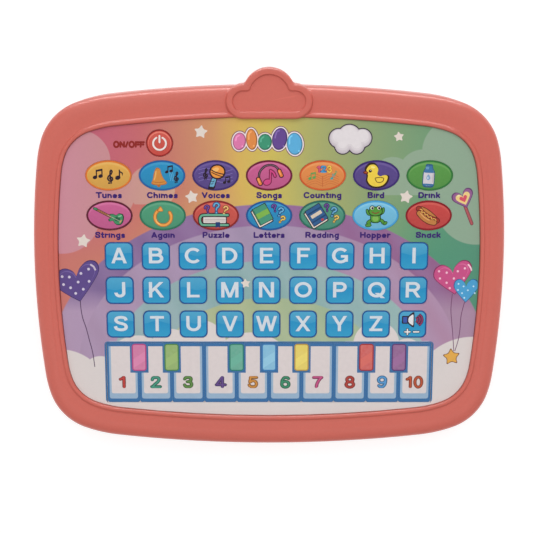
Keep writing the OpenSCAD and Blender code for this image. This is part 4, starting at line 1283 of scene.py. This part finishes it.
def draw_question(p):
    cover = xy("6.4,0.2 -6,0.2 -8.2,-0.8 -8.6,-2.6 -8,-4.4 -6,-5.2 6.4,-5.2")
    p.put(DARK, rounded(-0.7, -2.5, 13.2, 4.4, 0.8), 1)
    p.put((214, 204, 200), rounded(-0.7, -2.5, 12.2, 3.4, 0.6), 2)
    p.line(DARK, cover, 2.2, 3)
    p.line((104, 170, 140), cover, 1.1, 4)
    for y in (-2.1, -3.0):
        p.line((160, 140, 140), [(-6.2, y), (5.2, y)], 0.2, 3, curved=False)
    p.put((34, 60, 112), xy("-0.2,-3.6 2.2,-3.6 2.2,-6.9 1,-6.1 -0.2,-6.9"), 5)
    p.asking((112, 74, 150), (60, 34, 92), -4.6, 3.2, 1.05, 12)
    p.asking((104, 168, 206), (34, 70, 116), 0.3, 4.0, 1.3, 0)
    p.asking((234, 190, 116), (140, 82, 48), 5.0, 2.9, 1.05, -20)


def draw_book(p, cover, turn, x, y, w, h):
    """A closed book seen from its front, with the page edges along one side."""
    pages = (228, 216, 204)
    layers = ((DARK, -0.55, 1.3), (pages, -0.55, 0.3), (DARK, 0.25, 0.7), (cover, 0.25, 0.0))
    for level, (colour, shift, grow) in enumerate(layers, 1):
        at = placed([(shift, shift)], x, y, 1, turn)[0]
        p.put(colour, rounded(*at, w + grow, h + grow, 0.5, turn), level)


def draw_spell(p):
    draw_book(p, (70, 146, 118), 28, -3.6, 0.3, 7.6, 9.4)
    p.put((124, 176, 76), placed(rounded(0.3, 0.4, 7.6, 3.0, 0.1), -3.6, 0.3, 1, 28), 5)
    p.line((34, 90, 76), placed([(-3.2, 4.4), (-3.2, -4.0)], -3.6, 0.3, 1, 28), 0.3, 6, curved=False)
    p.asking((118, 78, 160), (50, 28, 90), 2.8, 4.0, 0.95, 14)
    p.asking((104, 178, 218), (24, 62, 116), 6.0, 1.9, 1.15, -20)
    p.asking((236, 206, 96), (140, 92, 30), 6.9, -2.2, 0.95, -38)


def draw_word(p):
    draw_book(p, (48, 92, 140), 32, -3.2, 0.0, 8.6, 9.2)
    bands = [((34, 66, 110), rounded(0.3, y, 8.2, 0.8, 0.1), 5) for y in (2.7, -2.3)]
    bands.append(((214, 196, 176), rounded(0.3, 0.5, 6.4, 1.9, 0.3), 6))
    bands.append(((190, 60, 56), ellipse(1.6, -3.6, 0.8, 0.6), 6))
    for colour, shape, level in bands:
        p.put(colour, placed(shape, -3.2, 0.0, 1, 32), level)
    p.asking((112, 74, 150), (52, 30, 88), 2.4, 4.2, 0.95, 8)
    p.asking((104, 172, 206), (30, 66, 110), 5.9, 1.9, 1.2, -18)
    p.asking((236, 206, 106), (136, 92, 34), 7.2, -1.9, 0.95, -30)


def draw_frog(p):
    edge, fill = (24, 48, 28), (82, 148, 56)
    p.scale = 0.87
    legs = ("-2.4,-3 -4.6,-4.6 -3.4,-6 -5.2,-6.2", "2.4,-2.6 4.4,-3.6 5,-5 6.4,-4.6")
    arms = ("-2.4,0.4 -4.6,1.2 -5.2,3.2", "2.6,0.6 4.6,2.2 4.8,4.2")
    for limbs, width in ((legs, 1.5), (arms, 1.1)):
        for limb in limbs:
            p.line(edge, xy(limb), width + 0.8, 1)
            p.line(fill, xy(limb), width, 2)
    trunk = xy("0,1.4 2.4,0.6 2.9,-1.8 2,-3.9 0,-4.3 -2,-3.9 -2.9,-1.8 -2.4,0.6")

    def body(grow):
        return smooth([(x * (1 + grow / 3), y * (1 + grow / 4)) for x, y in trunk], 5)

    p.edged(fill, edge, body, 0.45, 3)
    p.put((126, 178, 82), ellipse(0, -1.9, 1.9, 1.9), 5)
    p.edged(fill, edge, lambda grow: ellipse(0, 2.5, 3.9 + grow, 2.6 + grow), 0.5, 6)
    for x in (-2.1, 2.1):
        p.edged(fill, edge, lambda grow: ellipse(x, 4.4, 1.4 + grow), 0.45, 6)
        p.put((236, 236, 226), ellipse(x, 4.7, 1.05), 8)
        p.put(DARK, ellipse(x + 0.15, 4.6, 0.75), 9)
    p.line((140, 40, 44), xy("-2.2,2.2 0,1.3 2.2,2.2"), 0.5, 8)


def draw_hot_dog(p):
    p.scale = 0.88
    bun_edge, bun = (84, 36, 24), (190, 124, 66)
    back, front = "-4.6,4 -1.6,2.6 2.2,-0.4 4.4,-2.6", "-5.8,1.4 -3.2,-1.4 0.2,-3.6 3.4,-4.4"
    sausage = "-6.2,4.2 -3.4,1 0.6,-1.6 5.2,-3.2"
    layers = ((back, bun_edge, 3.4), (back, bun, 2.5))
    layers += ((sausage, (84, 24, 24), 3.6), (sausage, (158, 54, 44), 2.7))
    layers += ((front, bun_edge, 3.8), (front, bun, 2.9))
    for level, (path, colour, width) in enumerate(layers, 1):
        p.line(colour, xy(path), width, level)
    p.line((222, 168, 104), xy("-5,1.2 -2.6,-1.2 0.4,-3"), 0.5, 7)
    sauce = "-5.4,3.8 -4.2,3.6 -4.2,2 -2.6,2 -2.2,0.4 -0.8,0.6 -0.2,-1 1.4,-0.8 2,-2.2 3.6,-2 4.6,-3"
    p.line((222, 178, 90), xy(sauce), 0.5, 7)


OVALS = {  # caption, drawing, fill, rim, pale crescent
    "melody": ("Tunes", draw_melody, (222, 166, 76), (216, 116, 50), (238, 196, 120)),
    "ringing": ("Chimes", draw_ringing, (36, 140, 190), (34, 96, 160), (92, 172, 214)),
    "singing": ("Voices", draw_singing, (88, 70, 136), (66, 46, 110), (134, 112, 176)),
    "music": ("Songs", draw_music, (198, 90, 140), (110, 20, 56), (226, 136, 176)),
    "counting_song": ("Counting", draw_counting, (228, 138, 72), (206, 92, 46), (238, 172, 116)),
    "duck": ("Bird", draw_duck, (86, 68, 134), (62, 44, 112), (132, 112, 174)),
    "milk": ("Drink", draw_milk, (86, 150, 70), (52, 118, 58), (132, 184, 110)),
    "instrument": ("Strings", draw_guitar, (198, 92, 142), (96, 16, 50), (228, 138, 178)),
    "repeat": ("Again", draw_repeat, (74, 152, 116), (46, 116, 88), (122, 182, 150)),
    "question": ("Puzzle", draw_question, (200, 80, 72), (140, 40, 42), (232, 130, 112)),
    "question_spell": ("Letters", draw_spell, (34, 138, 190), (34, 88, 152), (92, 172, 214)),
    "question_word": ("Reading", draw_word, (74, 146, 122), (44, 106, 92), (120, 176, 154)),
    "frog": ("Hopper", draw_frog, (112, 188, 222), (70, 156, 206), (160, 212, 234)),
    "hot_dog": ("Snack", draw_hot_dog, (196, 68, 66), (140, 32, 40), (226, 118, 106)),
}


def oval_keys():
    for name, (_, draw, fill, rim, pale) in OVALS.items():
        node = "key_" + name
        dress(node, oval_material(name, fill, pale))
        low, high = mm_box(node)
        w, h = (high.x - low.x) / 2, (high.y - low.y) / 2
        p = Print("print_" + name, node, "oval_" + name)
        p.ring(rim, ellipse(0, 0, w, h, steps=96), ellipse(0, 0, w - 0.95, h - 0.95, steps=96))
        draw(p)
        p.make()


# ---- Letter, volume and power keys ----


KEY_SIDE = 15.2
KEY_INSIDE = 13.9  # side of what the printed edge leaves free


def key_edge(p):
    outer = rounded(0, 0, KEY_SIDE, KEY_SIDE, 3.2, steps=10)
    p.ring((34, 84, 150), outer, rounded(0, 0, KEY_INSIDE, KEY_INSIDE, 2.6, steps=10))


def letter_keys(blue):
    for letter in "abcdefghijklmnopqrstuvwxyz":
        node = "key_" + letter
        dress(node, blue)
        p = Print("print_" + letter, node, "letter_key")
        key_edge(p)
        p.say((96, 142, 188), letter.upper(), 0.1, 0.2, 8.6, 0, weight=1.95, flat=True, wide=1.17)
        p.say((208, 216, 223), letter.upper(), 0, 0.3, 8.6, 1, weight=1.8, flat=True, wide=1.17)
        p.make()


def volume_key(blue):
    """A loudspeaker with three sound waves, over a plus and a minus."""
    dress("key_volume", blue)
    p = Print("print_volume", "key_volume", "letter_key")
    key_edge(p)
    p.put(DARK, rounded(-4.0, 2.4, 3.5, 4.5, 0.6), 1)
    p.put((58, 88, 168), rounded(-4.0, 2.4, 2.2, 3.2, 0.3), 2)
    cone = xy("-2.6,4 0.2,6.3 0.9,6 0.9,-1.2 0.2,-1.5 -2.6,0.8")
    p.put(DARK, softened(placed(cone, 0.1, -0.3, 1.14), 2, 0.2), 3)
    p.put((226, 224, 226), softened(placed(cone, -0.15, 0.46, 0.8), 2, 0.2), 4)
    for k, r in enumerate((1.7, 3.1, 4.5)):
        arc = ellipse(1.2, 2.4, r * 0.95, r * 0.86, start=-48, end=48, steps=16)
        p.put((64, 24, 52), stroke(arc, 1.25), 1 + k)
        p.put((150, 52, 96), stroke(arc, 0.65), 5)
    for colour, width, level in ((DARK, 1.5, 1), ((226, 226, 226), 0.8, 2)):
        for bar_ends in ("-4,-4.4 -1.2,-4.4", "-2.6,-5.8 -2.6,-3", "0.8,-4.4 3.6,-4.4"):
            p.put(colour, stroke(xy(bar_ends), width), level)
    p.make()


def power_key():
    g = laminate("power_red")
    _, y, _ = g.place("Generated")
    dress("key_power", g.colour(g.mix(y * 0.8 + g.noise(1.4) * 0.25, rgb(192, 70, 62), rgb(210, 94, 82))))
    p = Print("print_power", "key_power", "power_key")
    p.ring((150, 42, 40), ellipse(0, 0, 7.2, steps=64), ellipse(0, 0, 6.45, steps=64))
    p.ring((230, 128, 112), ellipse(0, 0, 6.1, steps=64), ellipse(0, -0.35, 5.9, 5.75, steps=64), 1)
    for path in (ellipse(0, -0.2, 3.4, start=118, end=422, steps=48), [(0, 0.4), (0, 3.8)]):
        p.put((146, 40, 38), placed(stroke(path, 1.0), 0.15, -0.15), 2)
        p.put((232, 220, 216), stroke(path, 1.0), 3)
    p.make()


# ---- Piano ----

PIANO_BLUE = (58, 109, 160)
KEY_COLOURS = {  # line between two white keys: fill, edge, pale streak
    1: ((206, 112, 156), (180, 66, 124), (226, 156, 188)),
    2: ((140, 172, 96), (74, 128, 66), (172, 196, 136)),
    4: ((88, 164, 140), (46, 124, 104), (128, 188, 168)),
    5: ((124, 184, 214), (62, 122, 178), (170, 212, 230)),
    6: ((228, 204, 86), (182, 142, 58), (240, 224, 140)),
    8: ((204, 84, 78), (158, 44, 48), (224, 134, 122)),
    9: ((140, 88, 138), (94, 52, 108), (172, 130, 170)),
}
DIGITS = ((190, 66, 62), (70, 150, 126), (96, 138, 70), (98, 72, 134), (204, 138, 64),
          (62, 138, 104), (196, 84, 132), (176, 66, 58), (88, 150, 204), (186, 84, 56))
white_low, white_high = mm_box("white_keys")
colour_low, colour_high = mm_box("colour_keys")
pitch = (white_high.x - white_low.x) / 10
HALF_KEY = 8.9 / 2  # half the width of a coloured key


def white_outline(i, side, low_in, top_in, notch_in):
    """One white key's outline, moved inwards, with the corners that colour keys take out."""
    left, right = white_low.x + i * pitch, white_low.x + (i + 1) * pitch
    x0, x1, y0, y1 = left + side, right - side, white_low.y + low_in, white_high.y - top_in
    notch, r = colour_low.y - notch_in, 1.0
    path = [(x0 + r, y0), (x1 - r, y0), (x1 - r * 0.3, y0 + r * 0.3), (x1, y0 + r)]
    if i + 1 in KEY_COLOURS:
        cut = right - HALF_KEY - notch_in
        path += [(x1, notch), (cut, notch), (cut, y1)]
    else:
        path.append((x1, y1))
    if i in KEY_COLOURS:
        cut = left + HALF_KEY + notch_in
        path += [(cut, y1), (cut, notch), (x0, notch)]
    else:
        path.append((x0, y1))
    return path + [(x0, y0 + r), (x0 + r * 0.3, y0 + r * 0.3)]


def white_keys():
    """White faces with a blue edge, and a two-tone number on each."""
    g = laminate("white_key_print", 9)
    g.set(Roughness=0.30 + g.noise(12) * 0.08)
    dress("white_keys", g.colour(g.tint(rgb(217, 205, 205), 0.025, 2.0)))
    p = Print("print_white_keys", "white_keys", "white_key", at=(0.0, 0.0))
    for i in range(10):
        inner = white_outline(i, 1.15, 2.0, 1.9, 0.6)
        p.ring(PIANO_BLUE, white_outline(i, 0.03, 0.0, 0.0, 0.05), inner)
        p.put((150, 176, 200), inner, 0)
        p.put((217, 206, 205), white_outline(i, 2.3, 5.0, 1.9, 0.6), 1)
    y, height = -67.9, 7.0
    for i, colour in enumerate(DIGITS):
        x = white_low.x + (i + 0.5) * pitch + (-0.6 if i == 0 else 0)
        wide = 1.04 if i == 9 else 1.12
        p.say(tuple(int(c * 0.66) for c in colour), str(i + 1), x, y, height, 3, weight=2.5, wide=wide)
        p.say(colour, str(i + 1), x, y, height, 4, weight=1.2, wide=wide)
    p.make()


def colour_keys():
    """One material for all of them, whose colour changes halfway between two keys."""
    stops, before = {}, 0
    for line, (fill, _, _) in KEY_COLOURS.items():
        start = (white_low.x + (line + before) / 2 * pitch - colour_low.x) / (colour_high.x - colour_low.x)
        stops[start if before else 0.0] = fill
        before = line
    g = laminate("colour_key_print")
    fills = g.ramp(g.place("Generated")[0], stops, "CONSTANT")
    dress("colour_keys", g.colour(g.mix(g.noise(1.4) * 0.16, fills, rgb(220, 220, 220))))
    p = Print("print_colour_keys", "colour_keys", "colour_key", at=(0.0, 0.0))
    h, w, reach = colour_high.y - colour_low.y, 2 * HALF_KEY, HALF_KEY - 1.2
    for line, (fill, edge, pale) in KEY_COLOURS.items():
        x, y = white_low.x + line * pitch, (colour_low.y + colour_high.y) / 2
        middle = rounded(x, y, w - 0.9, h - 0.9, 1.7)
        p.ring(PIANO_BLUE, rounded(x, y, w, h, 0.05), middle)
        p.ring(edge, middle, rounded(x, y, w - 2.2, h - 2.2, 0.9))
        streak = [(x - reach, y - 1.0), (x + reach, y + 3.4), (x + reach, y - 1.8), (x - reach, y - 6.2)]
        p.put(tuple((a + b) // 2 for a, b in zip(pale, fill)), streak, 0)
    p.make()


housing = moulded("salmon_plastic", rgb(204, 101, 88))
front_shell(housing)
crest_cap(housing)
dress("rear_housing", housing)
dress("battery_door", housing)
dress("face_film", film_picture())
film_print()
oval_keys()
letter_blue = letter_material()
letter_keys(letter_blue)
volume_key(letter_blue)
power_key()
white_keys()
colour_keys()

# ---- Inner parts ----


def rubber():
    g = Graph("silicone_sheet", Roughness=0.55, IOR=1.41)
    g.bump(g.noise(14) + g.noise(0.6) * 0.2, 0.06)
    return g.colour(g.tint(rgb(214, 212, 204), 0.05, 18))


def board_green():
    """Green resist with copper tracks running under it."""
    g = Graph("board_green", Roughness=0.32, IOR=1.5)
    _, y, _ = g.place()
    jog = g.math("SNAP", g.noise(9, 0.0) * 6, 1.0)
    lane = g.math("PINGPONG", y + jog * 1.2, 0.8) - 0.35
    tracks = g.inside(lane, 0.08) * g.inside(g.noise(16, 0.0) - 0.5, 0.03)
    g.bump(tracks, 0.03)
    green = g.mix(tracks, rgb(30, 98, 62), rgb(58, 138, 84))
    return g.colour(g.mix(g.noise(3) * 0.15, green, rgb(20, 70, 46)))


def component_black():
    """Epoxy bodies, with a bright tinned line where the tail's connector meets the board."""
    g = Graph("component_black", Roughness=0.5)
    _, _, z = g.place("Generated")
    grain = g.noise(0.5, 3.0)
    g.bump(grain, 0.02)
    tinned = g.inside(g.math("ABSOLUTE", z - 0.68) - 0.02, 0.02)
    return g.colour(g.mix(tinned, g.mix(grain, rgb(32, 32, 35), rgb(52, 52, 56)), rgb(196, 194, 186)))


def cell_wrap():
    """Green shrink film with a dark end behind a thin orange band, and bare steel caps."""
    g = Graph("cell_wrap", Roughness=0.3, IOR=1.5)
    steel = (186, 184, 180)
    stops = {0.0: steel, 0.025: (36, 62, 54), 0.3: (196, 120, 62), 0.33: (48, 108, 88), 0.97: steel}
    band = g.ramp(g.place("Generated")[1], stops, "CONSTANT")
    g.bump(g.noise(5), 0.03)
    return g.colour(g.mix(g.noise(1.2) * 0.12, band, rgb(220, 214, 204)))


def cone_paper():
    """Pressed paper with rings round the middle."""
    g = Graph("cone_paper", Roughness=0.85)
    x, y, _ = g.place("Generated")
    rings = g.math("SINE", g.length(x - 0.5, y - 0.5) * 190)
    g.bump(rings * 0.6 + g.noise(0.8, 3.0), 0.08)
    return g.colour(g.mix(rings * 0.2 + g.noise(2.0, 3.0) * 0.6, rgb(34, 32, 32), rgb(62, 57, 54)))


def lead_sleeve():
    """Red and black silicone leads."""
    g = Graph("lead_sleeve", Roughness=0.42)
    x, y, _ = g.place()
    side = g.inside(g.math("PINGPONG", x * 0.9 + y * 0.7, 2.2) - 1.1, 0.1)
    g.bump(g.noise(1.5), 0.03)
    return g.colour(g.mix(side, g.tint(rgb(176, 40, 36), 0.08, 4.0), rgb(38, 36, 38)))


def metal(name, colour, rough, streak, marks=(0.4, 3.0), spread=0.18, depth=0.01, patches=(0.12, 3.0)):
    """Bare metal with fine marks that run along one way, and soft patches."""
    g = Graph(name, Metallic=1.0)
    fine = g.noise(*marks, streak)
    g.set(Roughness=rough + fine * spread)
    g.bump(fine, depth)
    return g.colour(g.tint(colour + (1.0,), *patches))


screw = metal("zinc_screw", (0.66, 0.67, 0.69), 0.26, (3, 1, 1), (0.35, 4.0), 0.2, 0.015, (0.14, 2.0))
for node, material in {
    "membrane_switch": rubber(),
    "circuit_board": board_green(),
    "board_components": component_black(),
    "board_screws": screw,
    "case_screws": screw,
    "door_screw": screw,
    "speaker_frame": metal("basket_steel", (0.5, 0.51, 0.53), 0.34, (1, 1, 4)),
    "speaker_cone": cone_paper(),
    "battery_cells": cell_wrap(),
    "battery_contacts": metal("nickel_strip", (0.74, 0.72, 0.66), 0.22, (1, 6, 1)),
    "wiring": lead_sleeve(),
}.items():
    dress(node, material)


# ---- Floor, light and camera ----

FLOOR_HALF = 4.0  # metres, as all sizes from here on
FLOOR_Z = -0.00005  # just under what the toy rests on


def make_floor():
    mesh = bpy.data.meshes.new("floor")
    corners = [(x * FLOOR_HALF, y * FLOOR_HALF, 0) for x, y in ((-1, -1), (1, -1), (1, 1), (-1, 1))]
    mesh.from_pydata(corners, [], [(0, 1, 2, 3)])
    g = Graph("floor_paper", Roughness=0.9, Specular_IOR_Level=0.0, Emission_Strength=1.35)
    pale = g.tint((0.5, 0.5, 0.5), 0.004, 90.0)
    g.set(Emission_Color=pale)
    mesh.materials.append(g.colour(pale))
    made = add_object("floor", mesh)
    made.location.z = FLOOR_Z


def make_light(name, place, size, power, shading=True, gloss=True):
    """A soft box aimed at the toy; it can be left out of the shading or out of the gloss."""
    light = bpy.data.lights.new(name, "AREA")
    light.shape = "RECTANGLE"
    light.size, light.size_y = size
    light.energy = power
    made = add_object(name, light)
    made.location = place
    made.rotation_euler = (-Vector(place)).to_track_quat("-Z", "Y").to_euler()
    made.visible_diffuse, made.visible_glossy = shading, gloss


make_floor()
make_light("key_light", (0.0, 0.75, 1.25), (1.6, 1.4), 12.6, gloss=False)
make_light("rim_light", (0.0, 1.5, 0.22), (1.8, 0.34), 24.0, shading=False)
make_light("front_light", (0.0, -0.45, 1.2), (1.2, 0.3), 0.9, shading=False)
make_light("fill_left", (-1.3, -0.2, 0.9), (0.8, 1.0), 1.4)
make_light("fill_right", (1.3, -0.2, 0.9), (0.8, 1.0), 1.4)

world = bpy.data.worlds.new("studio")
bpy.context.scene.world = world
world.use_nodes = True
world.node_tree.nodes["Background"].inputs[0].default_value = (1.0, 1.0, 1.0, 1.0)
world.node_tree.nodes["Background"].inputs[1].default_value = 0.45

lens = bpy.data.cameras.new("camera")
lens.sensor_width = 36.0
lens.lens = 79.88
lens.clip_start, lens.clip_end = 0.01, 50.0
camera = add_object("camera", lens)
camera.location = (-0.0014, 0.1243, 0.6546)
camera.rotation_euler = (math.radians(-11.39), 0, 0)
bpy.context.scene.camera = camera
